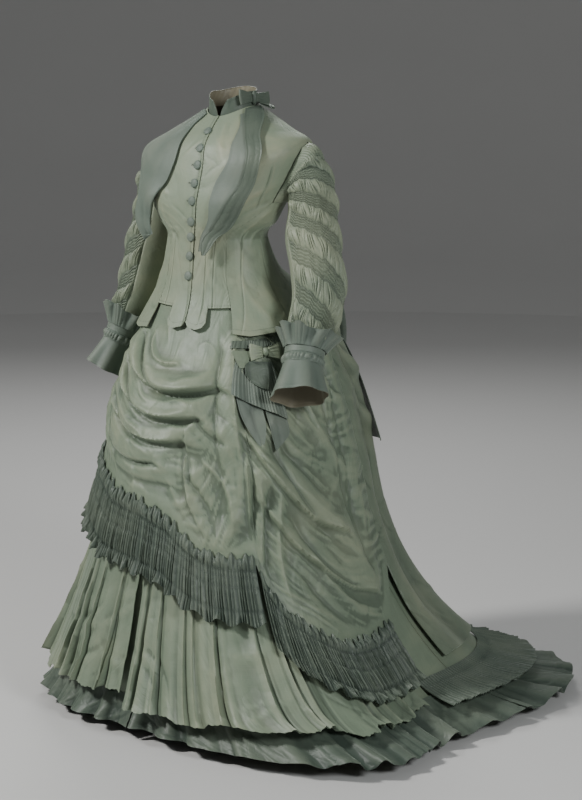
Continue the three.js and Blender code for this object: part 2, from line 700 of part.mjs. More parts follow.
// Rings down each arm: the middle (outward, forward, height), half widths, and the arm's tilt outward
// and forward, in degrees. The last three rows are the cuff.
const ARM_COLUMNS = ["out", "y", "up", "wide", "deep", "tilt", "lean"];
const ARM_LEFT = rowsOf(ARM_COLUMNS, [
  [208, 55, 1184, 54, 50, 53, 0],
  [219, 53, 1158, 53, 52, 26, 0],
  [226, 50, 1122, 52, 53, 8, 3],
  [234, 38, 1066, 58, 57, 16, 12],
  [262, 18, 1000, 57, 56, 18, 16],
  [281, -2, 935, 56, 55, 4, 18],
  [284, -31, 880, 50, 50, 3, 22],
  [288, -54, 838, 42, 42, 7, 24],
  [294, -73, 802, 42, 42, 12, 26],
  [311, -105, 744, 61, 56, 18, 26],
]);
const ARM_RIGHT = rowsOf(ARM_COLUMNS, [
  [206, 55, 1184, 52, 50, 53, 0],
  [211, 52, 1158, 52, 52, 26, 0],
  [208, 44, 1120, 51, 52, 4, 6],
  [214, 36, 1066, 53, 54, 6, 10],
  [226, 23, 1000, 50, 54, 6, 14],
  [234, 6, 935, 46, 50, 8, 18],
  [246, -12, 880, 41, 44, 13, 20],
  [256, -26, 838, 36, 38, 14, 20],
  [265, -37, 802, 34, 40, 18, 18],
  [285, -57, 744, 44, 54, 22, 18],
]);
const CUFF_ROW = 7; // the wrist

// The point on an arm at a row and an angle (0 is the wearer's left, 90 the back), swelled outward.
function onArm(rows, side, row, angle, swell) {
  const at = Object.fromEntries(ARM_COLUMNS.map((name) => [name, column(rows, name, row)]));
  const down = new THREE.Vector3(
    side * Math.sin(at.tilt * RAD),
    -Math.sin(at.lean * RAD),
    -Math.cos(at.tilt * RAD) * Math.cos(at.lean * RAD),
  ).normalize();
  const across = new THREE.Vector3(1, 0, 0).addScaledVector(down, -down.x).normalize();
  const back = new THREE.Vector3().crossVectors(across, down);
  return new THREE.Vector3(side * at.out, at.y, at.up - WAIST_HEIGHT)
    .addScaledVector(across, (at.wide + swell) * Math.cos(angle * RAD))
    .addScaledVector(back, (at.deep + swell) * Math.sin(angle * RAD));
}

// The armhole's edge, from the shoulder (0) round by the back, under the arm (0.5) and up the front.
function armhole(side, turn, stand) {
  const t = turn < 0 ? turn + 1 : turn % 1;
  const back = t < 0.5;
  const edge = back ? BACK_EDGE : FRONT_EDGE;
  const down = 1 - Math.abs(1 - 2 * t); // 0 at the shoulder, 1 under the arm
  const level = mix(3, UNDERARM, Math.min(1, down / 0.86));
  const angle = mix(lookup(edge, level), 90, smooth(0.84, 1, down));
  return offBodice(side * angle, level, stand + CLOTH);
}

// Smocking: slanting bands of close gathers that draw the sleeve in, with puffs between them.
const SMOCK = { pitch: 1.28, start: 0.95, slant: 0.75, band: 0.42, puff: 5.5 };
function puffLift(row, angle, side) {
  const round = side > 0 ? angle : 180 - angle; // 0 on the outside of the arm
  const turn = ((round + 540) % 360) - 180;
  const slanted = row - SMOCK.start + SMOCK.slant * (turn / 180);
  const phase = slanted / SMOCK.pitch - Math.floor(slanted / SMOCK.pitch);
  const puff = Math.sin(Math.PI * clamp((phase - SMOCK.band) / (1 - SMOCK.band), 0, 1)) ** 0.8;
  const plain = smooth(95, 140, Math.abs(turn)); // the plain strip inside the arm
  return SMOCK.puff * (puff || 0) * (1 - plain) * smooth(0.2, 0.9, row) * (1 - smooth(6.2, 6.9, row));
}

const SLEEVE = { columns: 15, rows: 17, end: 7.25 };
function sleeveGrid(rows, side, stand, lifted) {
  return steps(0, 1, SLEEVE.rows).map((v) =>
    steps(0, 360, SLEEVE.columns)
      .slice(0, -1)
      .map((angle) => {
        const row = mix(-1, SLEEVE.end, v ** 1.05);
        const turn = side > 0 ? angle / 360 : (180 - angle) / 360;
        const drawn = -3.2 * smooth(6.7, 7.2, row);
        const p = onArm(rows, side, Math.max(row, 0), angle, drawn + lifted * puffLift(row, angle, side));
        if (row >= 0) return p;
        const head = armhole(side, turn, stand);
        const bulge = 12 * Math.sin(Math.PI * (row + 1)) * (0.5 + 0.5 * Math.cos(2 * Math.PI * turn));
        const q = head.lerp(p, row + 1);
        q.x += side * bulge * 0.75;
        q.z += bulge * 0.65;
        return q;
      }),
  );
}
for (const [side, rows, stand, name] of [[1, ARM_LEFT, 0.9, "left"], [-1, ARM_RIGHT, 1.4, "right"]]) {
  const tube = (from, to, rowCount, columns, swell) =>
    steps(0, 1, rowCount).map((v) =>
      steps(0, 360, columns)
        .slice(0, -1)
        .map((angle) => onArm(rows, side, mix(from, to, v), angle, swell(v, angle / 360))),
    );
  const closed = { closed: true };
  addCloth(`sleeve_${name}`, sleeveGrid(rows, side, stand, 1), LIGHT_GREEN, {
    closed: true,
    plain: sleeveGrid(rows, side, stand, 0),
  });
  addCloth(`cuff_band_${name}`, tube(7.1, 7.98, 1, 16, () => 1), DARK_GREEN, closed);
  addCloth(
    `cuff_flare_${name}`,
    tube(7.988, 9, 1, 24, (v, turn) => 0.6 + (1 + 3 * v) * wave(turn * 6)),
    DARK_GREEN,
    closed,
  );
  addCloth(
    `cuff_ruffle_${name}`,
    tube(6.2, 7.094, 1, 40, (v, turn) => mix(18, 3.5, v) + mix(4.5, 1, v) * wave(turn * 10)),
    DARK_GREEN,
    closed,
  );
}

// ---------------------------------------------------------------- bows and the hip pocket

// A flat loop of ribbon: an upright band bent round on itself. along is the way the loop points, across
// the width of the ribbon, out the way it faces; all unit vectors.
const LOOP_SECTION = [
  [0, -0.5], [0.3, -0.8], [0.7, -1], [0.94, -0.7], [1, 0], [0.94, 0.7], [0.7, 1], [0.3, 0.8], [0, 0.5],
];
function addLoop(name, { root, along, out, length, width, fullness, flare = 1.15 }, finish) {
  const across = new THREE.Vector3().crossVectors(out, along).normalize();
  const grid = steps(-0.5, 0.5, 2).map((w) =>
    LOOP_SECTION.map(([l, o]) =>
      root
        .clone()
        .addScaledVector(along, l * length)
        .addScaledVector(out, o * fullness)
        .addScaledVector(across, w * width * mix(0.62, flare, l)),
    ),
  );
  return addCloth(name, grid, finish, { closed: true, thickness: 1.2 });
}
const unit = (x, y, z) => new THREE.Vector3(x, y, z).normalize();

// A rounded knot that faces along out.
function addKnot(name, at, out, across, height, depth, finish) {
  const geometry = new THREE.SphereGeometry(1, 8, 6);
  geometry.rotateX(Math.PI / 2);
  geometry.scale(across, depth, height);
  geometry.rotateZ(Math.atan2(out.y, out.x) - Math.PI / 2);
  geometry.translate(at.x, at.y, at.z);
  return addPiece(name, geometry, finish);
}

// Loops of dark ribbon at the wearer's left of the collar.
const NECK_BOW = { out: 64.7, back: 50, up: 1358 };
const neckBow = new THREE.Vector3(NECK_BOW.out, NECK_BOW.back, NECK_BOW.up - WAIST_HEIGHT);
const NECK_LOOPS = rowsOf(
  ["name", "along", "out", "length", "width", "fullness", "shift"],
  [
    ["neck_loop_front", unit(-0.14, -0.98, 0.05), unit(0.98, -0.14, 0.2), 36, 29, 3.4, [0, -7.6, 0]],
    ["neck_loop_back", unit(0.2, 0.96, -0.1), unit(0.96, -0.2, 0.2), 38, 29, 3.6, [0.5, 8.4, 0]],
    ["neck_loop_low", unit(0.66, 0.68, -0.3), unit(0.3, 0.1, 0.95), 34, 24, 3, [11.6, 8, -11.6]],
  ],
);
for (const loop of NECK_LOOPS) {
  const root = neckBow.clone().add(new THREE.Vector3(...loop.shift));
  addLoop(loop.name, { ...loop, root }, DARK_GREEN);
}
const neckKnot = neckBow.clone().add(new THREE.Vector3(2, 0, 0));
addKnot("neck_knot", neckKnot, unit(1, 0, 0), 7.5, 15, 6, DARK_GREEN);

// The pocket on the wearer's left hip lies on the apron.
const onApron = (angle, row, off) => offSkirt(angle, row, apronOff(angle, row) + off);
const pocket = (name, rows, columns, finish, options) =>
  addLaid(name, onApron, rowsOf(LAID, rows), columns, finish, options);
pocket(
  "pocket_heading",
  [[2.74, 41, 2.2, 2.6, 78, 2.2], [2.94, 40, 3.4, 2.8, 78, 3.4]],
  16,
  DARK_GREEN,
  { lift: (u) => 1.6 * wave(u * 8) },
);
pocket(
  "pocket_turnover",
  [[2.99, 40.5, 4.4, 2.96, 52, 4.4], [3.18, 43, 6.9, 3.18, 51, 6.9], [3.36, 45.6, 9.9, 3.33, 49.5, 9.9]],
  2,
  LIGHT_GREEN,
);
pocket(
  "pocket_fan",
  [[3.16, 43.5, 2.9, 3.2, 66, 2.9], [3.5, 42, 9, 3.65, 67, 10], [3.84, 41.5, 13, 4.26, 69, 14]],
  14,
  DARK_GREEN,
  { lift: (u, at) => (1 + 1.6 * at) * wave(u * 7) },
);
pocket(
  "pocket_ribbon_end",
  [
    [3.2, 51, 9.9, 3.2, 61, 7.2], [3.3, 48.6, 12, 3.32, 61.8, 9.4], [3.46, 48.6, 13, 3.5, 61.8, 11.2],
    [3.62, 52, 14, 3.66, 61, 13.2], [3.72, 56.5, 15, 3.74, 60, 14.8],
  ],
  3,
  DARK_GREEN,
);
pocket(
  "pocket_tab_front",
  [[3.72, 43, 4.7, 3.95, 56, 5.2], [4.2, 46, 5.7, 4.32, 57, 5.7], [4.66, 53, 6.2, 4.62, 55.5, 6.2]],
  3,
  DARK_GREEN,
  { rowCount: 5 },
);
pocket(
  "pocket_tab_back",
  [[4.02, 57.6, 5.2, 4.12, 68.5, 5.2], [4.35, 58.6, 5.7, 4.42, 69.5, 5.7], [4.74, 60.5, 6.2, 4.52, 68.5, 6.2]],
  3,
  DARK_GREEN,
  { rowCount: 4 },
);

// A bow on the skirt: two loops either side of a knot.
function addSkirtBow(name, { angle, row, off, droop, knot, grip, depth, ...loop }, finish) {
  const middle = offSkirt(angle, row, off);
  const out = skirtNormal(angle, row);
  const tangent = new THREE.Vector3().crossVectors(out, new THREE.Vector3(0, 0, 1)).normalize();
  for (const [side, label] of [[1, "a"], [-1, "b"]]) {
    const along = tangent.clone().multiplyScalar(side).add(new THREE.Vector3(0, 0, -droop)).normalize();
    const facing = out.clone().addScaledVector(along, -out.dot(along)).normalize();
    const root = middle.clone().addScaledVector(along, knot * grip);
    addLoop(`${name}_loop_${label}`, { ...loop, root, along, out: facing }, finish);
  }
  const knotAt = middle.clone().addScaledVector(out, 1);
  addKnot(`${name}_knot`, knotAt, out, knot * 0.8, knot * 1.2, knot * depth, finish);
}
addSkirtBow(
  "pocket_bow",
  { angle: 61.5, row: 3.0, off: 30.6, droop: 0, length: 28, width: 33, fullness: 5, knot: 8, grip: 0.84, depth: 1.1 },
  LIGHT_GREEN,
);
addSkirtBow(
  "sash_bow",
  {
    angle: 180, row: 2.85, off: 44, droop: 0.4, length: 102, width: 112, fullness: 14,
    knot: 22, grip: 0.86, depth: 1.2,
  },
  DARK_GREEN,
);

// The sash's two ends fall over the bustle.
const SASH_LEFT = [
  [2.75, 158, 24.5, 2.75, 174, 24.5], [3.4, 148, 27.2, 3.4, 168, 27.2], [4.3, 138, 34, 4.3, 160, 34],
  [5.1, 132, 42, 5.25, 156, 42],
];
const SASH_RIGHT = SASH_LEFT.map(([level, from, off, levelTo, to, offTo]) => [
  levelTo * 1.06, 360 - to, offTo - 2.2, level * 1.06, 360 - from, off - 2.2,
]);
addLaid("sash_end_left", offSkirt, rowsOf(LAID, SASH_LEFT), 3, DARK_GREEN, { rowCount: 6 });
addLaid("sash_end_right", offSkirt, rowsOf(LAID, SASH_RIGHT), 3, DARK_GREEN, { rowCount: 6 });

export default dress;
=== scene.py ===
"""Trousseau dress of the mid 1870s in two greens of silk taffeta.

A fitted basque bodice with smocked sleeves, scarf ends and covered buttons lies over a draped apron
overskirt, a pleated walking flounce and a train. Tables and forms are in millimetres, as a dressmaker
would cut them, and MM turns them into metres where a mesh is made. The wearer faces -Y, the wearer's left
is +X, and the origin is the middle of the waist.
"""

import math

import bpy
import numpy as np
from mathutils import Matrix, Vector


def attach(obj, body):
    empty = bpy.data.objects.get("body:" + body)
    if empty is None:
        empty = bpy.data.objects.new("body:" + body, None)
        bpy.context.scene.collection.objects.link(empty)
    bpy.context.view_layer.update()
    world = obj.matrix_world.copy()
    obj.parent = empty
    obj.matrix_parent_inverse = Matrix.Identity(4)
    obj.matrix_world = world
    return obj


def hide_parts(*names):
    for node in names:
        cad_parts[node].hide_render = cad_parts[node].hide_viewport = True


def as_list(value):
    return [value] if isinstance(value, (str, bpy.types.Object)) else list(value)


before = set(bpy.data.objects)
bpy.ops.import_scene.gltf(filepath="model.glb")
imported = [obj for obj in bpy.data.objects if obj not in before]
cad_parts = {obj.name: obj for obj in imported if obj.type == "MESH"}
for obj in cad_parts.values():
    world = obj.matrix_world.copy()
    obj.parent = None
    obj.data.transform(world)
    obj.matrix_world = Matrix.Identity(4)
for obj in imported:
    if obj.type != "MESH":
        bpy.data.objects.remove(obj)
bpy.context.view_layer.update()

MM = 0.001
DEG = math.pi / 180
WAIST_HEIGHT = 1050.0  # waist above the floor
CLOTH = 1.6  # one layer of taffeta and its mounting
BODY = "root"

# ---------------------------------------------------------------- small maths


def mix(a, b, t):
    return a + (b - a) * t


def smooth(low, high, x):
    t = np.clip((np.asarray(x, float) - low) / (high - low), 0, 1)
    return t * t * (3 - 2 * t)


def wave(turns):
    return np.sin(2 * np.pi * np.asarray(turns, float))


def unit(v):
    return v / np.maximum(np.linalg.norm(v, axis=-1, keepdims=True), 1e-9)


def table(names, rows):
    """Columns of a table by name."""
    return {name: np.array([row[i] for row in rows], float) for i, name in enumerate(names.split())}


def through(a, b, c, d, t):
    """Catmull-Rom between b and c."""
    return 0.5 * (
        2 * b + (c - a) * t + (2 * a - 5 * b + 4 * c - d) * t * t + (3 * b - a - 3 * c + d) * t**3
    )


def column(values, at):
    """A column of a table at fractional rows."""
    last = len(values) - 1
    u = np.clip(at, 0, last)
    i = np.minimum(np.floor(u).astype(int), last - 1)
    return through(*(values[np.clip(i + k, 0, last)] for k in (-1, 0, 1, 2)), u - i)


def stacked(x, y, z):
    return np.stack(np.broadcast_arrays(x, y, z), -1).astype(float)


# ---------------------------------------------------------------- the skirt's form

# One row for each level of the skirt under the apron: its reach to the front, left, right and back, its
# height above the floor there, how square its corners are and how far the back is swept to the left.
SKIRT = table("front left right back front_up side_up back_up corner_l corner_r corner_b sweep", [
    (-88, 115, -109, 85, 1058, 1058, 1058, 0.0, 0.0, 0.0, 0),
    (-94, 130, -123, 132, 975, 975, 985, 0.01, 0.01, 0.01, 0),
    (-106, 168, -150, 232, 895, 895, 915, 0.02, 0.02, 0.02, 0),
    (-138, 202, -178, 296, 815, 815, 840, 0.02, 0.02, 0.02, 0),
    (-186, 238, -204, 345, 710, 710, 735, 0.03, 0.02, 0.02, 0),
    (-218, 274, -234, 380, 580, 580, 600, 0.04, 0.02, 0.02, 0),
    (-250, 314, -270, 392, 430, 430, 450, 0.06, 0.02, 0.02, 10),
    (-274, 362, -305, 430, 300, 300, 310, 0.1, 0.02, 0.03, 30),
    (-294, 426, -345, 500, 180, 180, 180, 0.14, 0.02, 0.06, 60),
    (-306, 502, -380, 582, 88, 78, 68, 0.18, 0.02, 0.13, 95),
    (-312, 588, -400, 664, 44, 22, 14, 0.22, 0.02, 0.2, 130),
])
LAST_ROW = 10  # past it the form runs on along its own slope


def on_skirt(angle, row):
    """The point at an angle round the wearer (0 in front, 90 at the wearer's left) and a row."""
    angle, row = np.broadcast_arrays(np.asarray(angle, float), np.asarray(row, float))
    at = {name: column(values, row) for name, values in SKIRT.items()}
    s, c = np.sin(angle * DEG), np.cos(angle * DEG)
    corner = np.where(c > 0, np.where(s > 0, at["corner_l"], at["corner_r"]), at["corner_b"])
    square = 1 + corner * np.sin(2 * angle * DEG) ** 2
    x = np.where(s > 0, at["left"] * s, -at["right"] * s) * square + np.where(c < 0, at["sweep"] * c * c, 0)
    y = np.where(c > 0, at["front"] * c, -at["back"] * c) * square
    up = mix(at["side_up"], np.where(c > 0, at["front_up"], at["back_up"]), c * c)
    return stacked(x, y, up - WAIST_HEIGHT)


def skirt_normal(angle, row):
    reach = 0.4
    around = on_skirt(np.add(angle, 2), row) - on_skirt(np.subtract(angle, 2), row)
    below = on_skirt(angle, np.clip(np.add(row, reach), 0, LAST_ROW))
    above = on_skirt(angle, np.clip(np.subtract(row, reach), 0, LAST_ROW))
    return unit(np.cross(below - above, around))


def off_skirt(angle, row, off):
    """A point stood off the skirt. Rows past the last run on along the hem's own slope."""
    angle, row, off = np.broadcast_arrays(*(np.asarray(v, float) for v in (angle, row, off)))
    run = 0.3
    past = np.maximum(row - LAST_ROW, 0)[..., None] / run
    slope = on_skirt(angle, LAST_ROW) - on_skirt(angle, LAST_ROW - run)
    return on_skirt(angle, row) + skirt_normal(angle, row) * off[..., None] + slope * past


# The apron's lower edge, as skirt rows at angles round the wearer: two swags, the second lower.
SWAG_RIGHT = table(
    "at row",
    [(-112, 4.6), (-85, 4.85), (-60, 5.1), (-31, 5.36), (-18, 5.54), (1, 5.64), (14, 5.8), (23, 6.08),
     (30, 6.24), (38, 6.3), (48, 6.32)],
)
SWAG_LEFT = table(
    "at row",
    [(48, 6.5), (52, 6.92), (56, 7.2), (62, 7.46), (68, 7.68), (76, 7.82), (90, 7.84), (98, 7.74),
     (106, 7.2), (114, 6.6)],
)
STEP_ANGLE = 48  # where the two swags meet


def lookup(rows, at, name="row"):
    return np.interp(at, rows["at"], rows[name])


def apron_edge(angle):
    return np.where(np.asarray(angle) < STEP_ANGLE, lookup(SWAG_RIGHT, angle), lookup(SWAG_LEFT, angle))


# The largest folds of the apron: from one place to another, sagging between, with width and height.
FOLD_COLUMNS = "a0 r0 a1 r1 sag width height"
FOLDS = table(FOLD_COLUMNS, [
    (-40, 2.2, 26, 3.7, 0.7, 24, 13),
    (-40, 3.2, 22, 4.1, 0.55, 20, 13),
    (-45, 4.0, 16, 4.55, 0.4, 18, 11),
    (-48, 4.7, 8, 5.05, 0.35, 16, 9),
    (24, 4.2, 38, 6.0, -0.5, 20, 12),
    (16, 4.7, 34, 6.1, -0.4, 16, -8),
    (41, 2.2, 43, 4.6, 0.0, 22, 13),
    (50, 5.05, 90, 5.95, -0.15, 26, 16),
    (88, 5.9, 101, 7.1, -0.1, 26, 14),
    (62, 4.2, 52, 5.2, 0.1, 26, 8),
    (108, 2.4, 104, 6.2, 0.0, 26, 14),
    (92, 2.4, 96, 5.4, 0.0, 22, 8),
    (-80, 2.0, -60, 4.8, 0.2, 26, 9),
    (-104, 2.2, -92, 4.6, 0.1, 26, 10),
])
# Sharper tucks and creases that lie between them.
TUCKS = table(FOLD_COLUMNS, [
    (-30, 2.75, 33, 3.72, 0.6, 8, -11),
    (-34, 3.45, 24, 4.25, 0.42, 8, -9),
    (-38, 4.05, 17, 4.64, 0.3, 7, -8),
    (-42, 4.5, 3, 4.99, 0.22, 6, -7),
    (-34, 4.95, 13, 5.27, 0.12, 6, -6),
    (-44, 3.75, -8, 4.5, 0.1, 6, 5),
    (-46, 4.4, -10, 5.1, 0.08, 6, 5),
    (-20, 2.6, 8, 3.3, 0.3, 7, 6),
    (17, 4.62, 22, 5.2, -0.05, 7, -7),
    (22, 5.2, 34, 5.98, -0.1, 7, -8),
    (28, 4.9, 40, 5.9, -0.2, 7, 6),
    (24, 4.28, 38, 4.62, 0.05, 7, -6),
    (13, 5.25, 35, 5.97, 0.1, 6, 5),
    (17, 5.6, 34, 6.08, 0.08, 6, -5),
    (34, 3.0, 37, 5.4, 0.1, 7, -5),
    (43, 2.7, 45, 4.9, 0.05, 6, 5),
    (49, 4.9, 46, 6.2, -0.04, 5, -8),
    (52, 5.2, 49, 6.35, -0.05, 6, 6),
    (56, 5.3, 52, 6.8, 0.1, 7, -6),
    (60, 5.4, 58, 7.1, 0.08, 7, 5),
    (55, 4.0, 84, 5.4, 0.12, 9, -6),
    (58, 4.6, 92, 6.3, 0.16, 9, -8),
    (64, 5.6, 92, 6.9, 0.16, 8, -7),
    (70, 6.2, 96, 7.4, 0.12, 8, 6),
    (66, 6.6, 84, 7.55, 0.06, 7, -6),
    (80, 3.2, 100, 5.2, 0.1, 9, 6),
    (98, 2.8, 98, 5.8, 0.05, 8, -8),
    (104, 3.2, 100, 6.8, 0.05, 8, -6),
    (74, 2.9, 90, 4.6, 0.2, 9, 6),
    (-70, 3.0, -46, 4.9, 0.3, 8, -7),
    (-96, 2.8, -76, 4.8, 0.2, 8, -7),
    (-62, 3.6, -30, 5.0, 0.25, 7, 6),
])
# Laid tucks: the cloth above each line stands proud of what hangs below it, and drops away at the line.
PLAITS = table(FOLD_COLUMNS, [
    (-46, 2.55, 33, 3.66, 0.62, 46, 11),
    (-50, 3.15, 25, 4.2, 0.44, 40, 11),
    (-54, 3.7, 18, 4.6, 0.34, 36, 10),
    (-58, 4.2, 4, 4.96, 0.26, 32, 9),
    (-60, 4.6, 13, 5.24, 0.16, 26, 8),
    (46, 3.3, 62, 4.6, 0.1, 30, 8),
    (50, 4.6, 92, 6.0, 0.25, 44, 14),
    (54, 5.5, 100, 7.1, 0.2, 44, 14),
    (47, 4.9, 47.5, 6.3, 0.0, 22, 9),
    (20, 4.5, 36, 6.1, 0.25, 26, 9),
    (104, 4.0, 62, 2.6, 0.3, 40, 8),
    (-108, 3.4, -60, 3.9, 0.3, 36, 7),
    (-108, 4.2, -62, 4.5, 0.2, 30, 6),
])
SKIRT_ROW_LENGTH = 110.0  # typical distance between two rows of the skirt's table
SKIRT_DEGREE = 4.4  # millimetres in a degree round the skirt, at the knee


def rounded(away, width):
    return np.exp(-((away / width) ** 2))


def pinched(away, width):
    return np.exp(-(np.abs(away / width) ** 1.15))


def tented(away, width):
    """Flat sides that meet in a crisp crest."""
    return np.clip(1 - (np.hypot(away, 1.6) - 1.6) / (1.75 * width), 0, 1)


def dropped(away, width):
    """A slope up to an edge and a steep drop past it."""
    return np.where(away < 0, np.exp(np.minimum(away, 0) / width), np.exp(-((away / 3.0) ** 2)))


def fold_lift(folds, angle, row, shape=rounded):
    """How far a table of folds lifts the cloth."""
    lift = np.zeros(np.broadcast(angle, row).shape)
    for a0, r0, a1, r1, sag, width, height in zip(*folds.values()):
        dx, dy = (a1 - a0) * SKIRT_DEGREE, (r1 - r0) * SKIRT_ROW_LENGTH
        px, py = (angle - a0) * SKIRT_DEGREE, (row - r0) * SKIRT_ROW_LENGTH
        length = math.hypot(dx, dy)
        t = (px * dx + py * dy) / length**2
        hang = sag * SKIRT_ROW_LENGTH * 4 * np.clip(t, 0, 1) * (1 - np.clip(t, 0, 1))
        away = (py * dx - px * dy) / length - hang
        along = smooth(-0.15, 0.12, t) * (1 - smooth(0.88, 1.15, t))
        lift += height * along * shape(away, width)
    return lift


def apron_stand(row):
    return mix(3.5, 21, smooth(0, 3.2, row))


def apron_calm(angle, row):
    """0 where the apron lies flat under the basque and at its edge, 1 where it is draped."""
    edge = apron_edge(angle)
    return smooth(2.3, 3.1, row) * (1 - smooth(0, 0.55, row - edge + 0.75))


def apron_off(angle, row):
    return apron_stand(row) + apron_calm(angle, row) * np.clip(fold_lift(FOLDS, angle, row, tented), -8, 20)


# ---------------------------------------------------------------- the bodice's form

# Rings of the bodice from the neck down to just over the waist.
TORSO = table("front back half mid_x mid_y front_up side_up back_up square drop_right", [
    (58, 54, 56, 8, 50, 1318, 1340, 1350, 0, 0),
    (88, 66, 98, 4, 56, 1294, 1316, 1330, 0.02, 4),
    (122, 72, 152, 0, 60, 1256, 1291, 1296, 0.05, 11),
    (142, 76, 203, 0, 64, 1212, 1263, 1250, 0.06, 14),
    (140, 84, 192, 0, 52, 1172, 1200, 1195, 0.05, 6),
    (118, 84, 166, 0, 24, 1136, 1140, 1140, 0.03, 0),
    (104, 88, 148, 0, 8, 1096, 1096, 1096, 0.01, 0),
])
WAIST_LEVEL = 7  # the ring at the waist; the ones below it follow the skirt
BUST = {"angle": 36, "level": 5, "lift": 13, "across": 17, "down": 0.8}


def basque_stand(row):
    return 4 + 7 * smooth(1.3, 2.6, row)


def below_waist(angle, level):
    row = np.maximum(level - WAIST_LEVEL, 0)
    return off_skirt(angle, row, apron_stand(row) + basque_stand(row))


def bodice_ring(angle, ring):
    at = {name: values[np.clip(ring, 0, WAIST_LEVEL - 1)] for name, values in TORSO.items()}
    s, c = np.sin(angle * DEG), np.cos(angle * DEG)
    square = 1 + at["square"] * np.sin(2 * angle * DEG) ** 2
    drop = np.where(s < 0, at["drop_right"] * s * s, 0)
    up = mix(at["side_up"], np.where(c > 0, at["front_up"], at["back_up"]), c * c) - drop
    x = at["mid_x"] + at["half"] * s * square
    y = at["mid_y"] - np.where(c > 0, at["front"], at["back"]) * c * square
    upper = stacked(x, y, up - WAIST_HEIGHT)
    return np.where((ring >= WAIST_LEVEL)[..., None], below_waist(angle, ring), upper)


def on_bodice(angle, level):
    """The point of the bodice at an angle and level; level 0 is the neck edge."""
    angle, level = np.broadcast_arrays(np.asarray(angle, float), np.asarray(level, float))
    turned = np.where(angle > 180, angle - 360, angle)
    ring = np.floor(level).astype(int)
    rings = [bodice_ring(turned, np.maximum(ring + k, 0)) for k in (-1, 0, 1, 2)]
    p = through(*rings, (level - ring)[..., None])
    across = (np.abs(turned) - BUST["angle"]) / BUST["across"]
    down = (level - BUST["level"]) / BUST["down"]
    bust = BUST["lift"] * np.exp(-(across**2) - down**2)
    p = p + stacked(bust * 0.3 * np.sign(turned), -bust * 0.8, 0 * bust)
    return np.where((level >= WAIST_LEVEL)[..., None], below_waist(turned, level), p)


def off_bodice(angle, level, off):
    angle, level, off = np.broadcast_arrays(*(np.asarray(v, float) for v in (angle, level, off)))
    around = on_bodice(angle + 2, level) - on_bodice(angle - 2, level)
    fall = on_bodice(angle, level + 0.15) - on_bodice(angle, np.maximum(level - 0.15, 0))
    return on_bodice(angle, level) + unit(np.cross(fall, around)) * off[..., None]


# ---------------------------------------------------------------- cloth meshes


def grid_normals(points, closed):
    if closed:
        along = np.roll(points, -1, 1) - np.roll(points, 1, 1)
    else:
        along = np.gradient(points, axis=1)
    return unit(np.cross(np.gradient(points, axis=0), along))


def lengths(points, axis):
    """Distance run along a grid's rows or columns, in millimetres."""
    step = np.linalg.norm(np.diff(points, axis=axis), axis=-1)
    start = np.zeros_like(np.take(step, [0], axis=axis))
    return np.cumsum(np.concatenate([start, step], axis), axis)


SHARP_FROM = 75 * DEG  # between two faces


def mesh_object(name, points, faces, uvs=None):
    """A smooth mesh from points in millimetres and lists of three- and four-cornered faces."""
    mesh = bpy.data.meshes.new(name)
    mesh.vertices.add(len(points))
    mesh.vertices.foreach_set("co", (points * MM).astype(np.float32).ravel())
    corners = np.concatenate([f.ravel() for f in faces])
    totals = np.concatenate([np.full(len(f), f.shape[1]) for f in faces])
    mesh.loops.add(len(corners))
    mesh.loops.foreach_set("vertex_index", corners.astype(np.int32))
    mesh.polygons.add(len(totals))
    mesh.polygons.foreach_set("loop_start", np.concatenate([[0], np.cumsum(totals)[:-1]]).astype(np.int32))
    mesh.update(calc_edges=True)
    mesh.validate()
    mesh.polygons.foreach_set("use_smooth", np.ones(len(totals), bool))
    if uvs is not None:
        layer = mesh.uv_layers.new(name="Cut")
        layer.data.foreach_set("uv", (uvs[corners] * MM).astype(np.float32).ravel())
    mesh.set_sharp_from_angle(angle=SHARP_FROM)
    obj = bpy.data.objects.new(name, mesh)
    bpy.context.scene.collection.objects.link(obj)
    return obj


def rim(outer, inner, forward):
    """Triangles between an edge of the outer face and the coarser edge of the inner one."""
    k = (len(outer) - 1) // (len(inner) - 1)
    near = np.repeat(inner[:-1], k)
    fans = np.stack([outer[:-1], outer[1:], near], 1)
    fills = np.stack([outer[k::k], inner[1:], inner[:-1]], 1)
    both = np.concatenate([fans, fills])
    return both if forward else both[:, ::-1]


CREASE_REACHES, CREASE_GAIN = (6.0, 20.0), 1.9


def creases(points, closed):
    """How far each point of a grid stands over its surroundings: above 0 on ridges, below 0 in valleys."""
    rise = np.zeros(points.shape)
    for axis, reach in ((a, r) for a in (0, 1) for r in CREASE_REACHES):
        size = points.shape[axis]
        pitch = float(np.linalg.norm(np.diff(points, axis=axis), axis=-1).mean())
        step = int(np.clip(round(reach / pitch), 1, size - 1))
        pad = [(step, step) if a == axis else (0, 0) for a in (0, 1, 2)]
        wide = np.pad(points, pad, "wrap" if closed and axis else "edge")
        near, far = np.take(wide, range(size), axis), np.take(wide, range(2 * step, 2 * step + size), axis)
        middle = (points - 0.5 * (near + far)) / (step * pitch)
        if not (closed and axis):
            ends = (slice(None),) * axis
            middle[ends + (slice(0, step),)] = 0
            middle[ends + (slice(-step, None),)] = 0
        rise += middle
    return np.clip((rise * grid_normals(points, closed)).sum(-1) * CREASE_GAIN, -1, 1)


def paint(mesh, name, values):
    """One number for each point of a mesh, for its silk to read."""
    layer = mesh.attributes.new(name, "FLOAT", "POINT")
    layer.data.foreach_set("value", np.asarray(values, np.float32).ravel())


LINED = ("bodice", "sleeve", "collar", "cuff_flare", "skirt_")


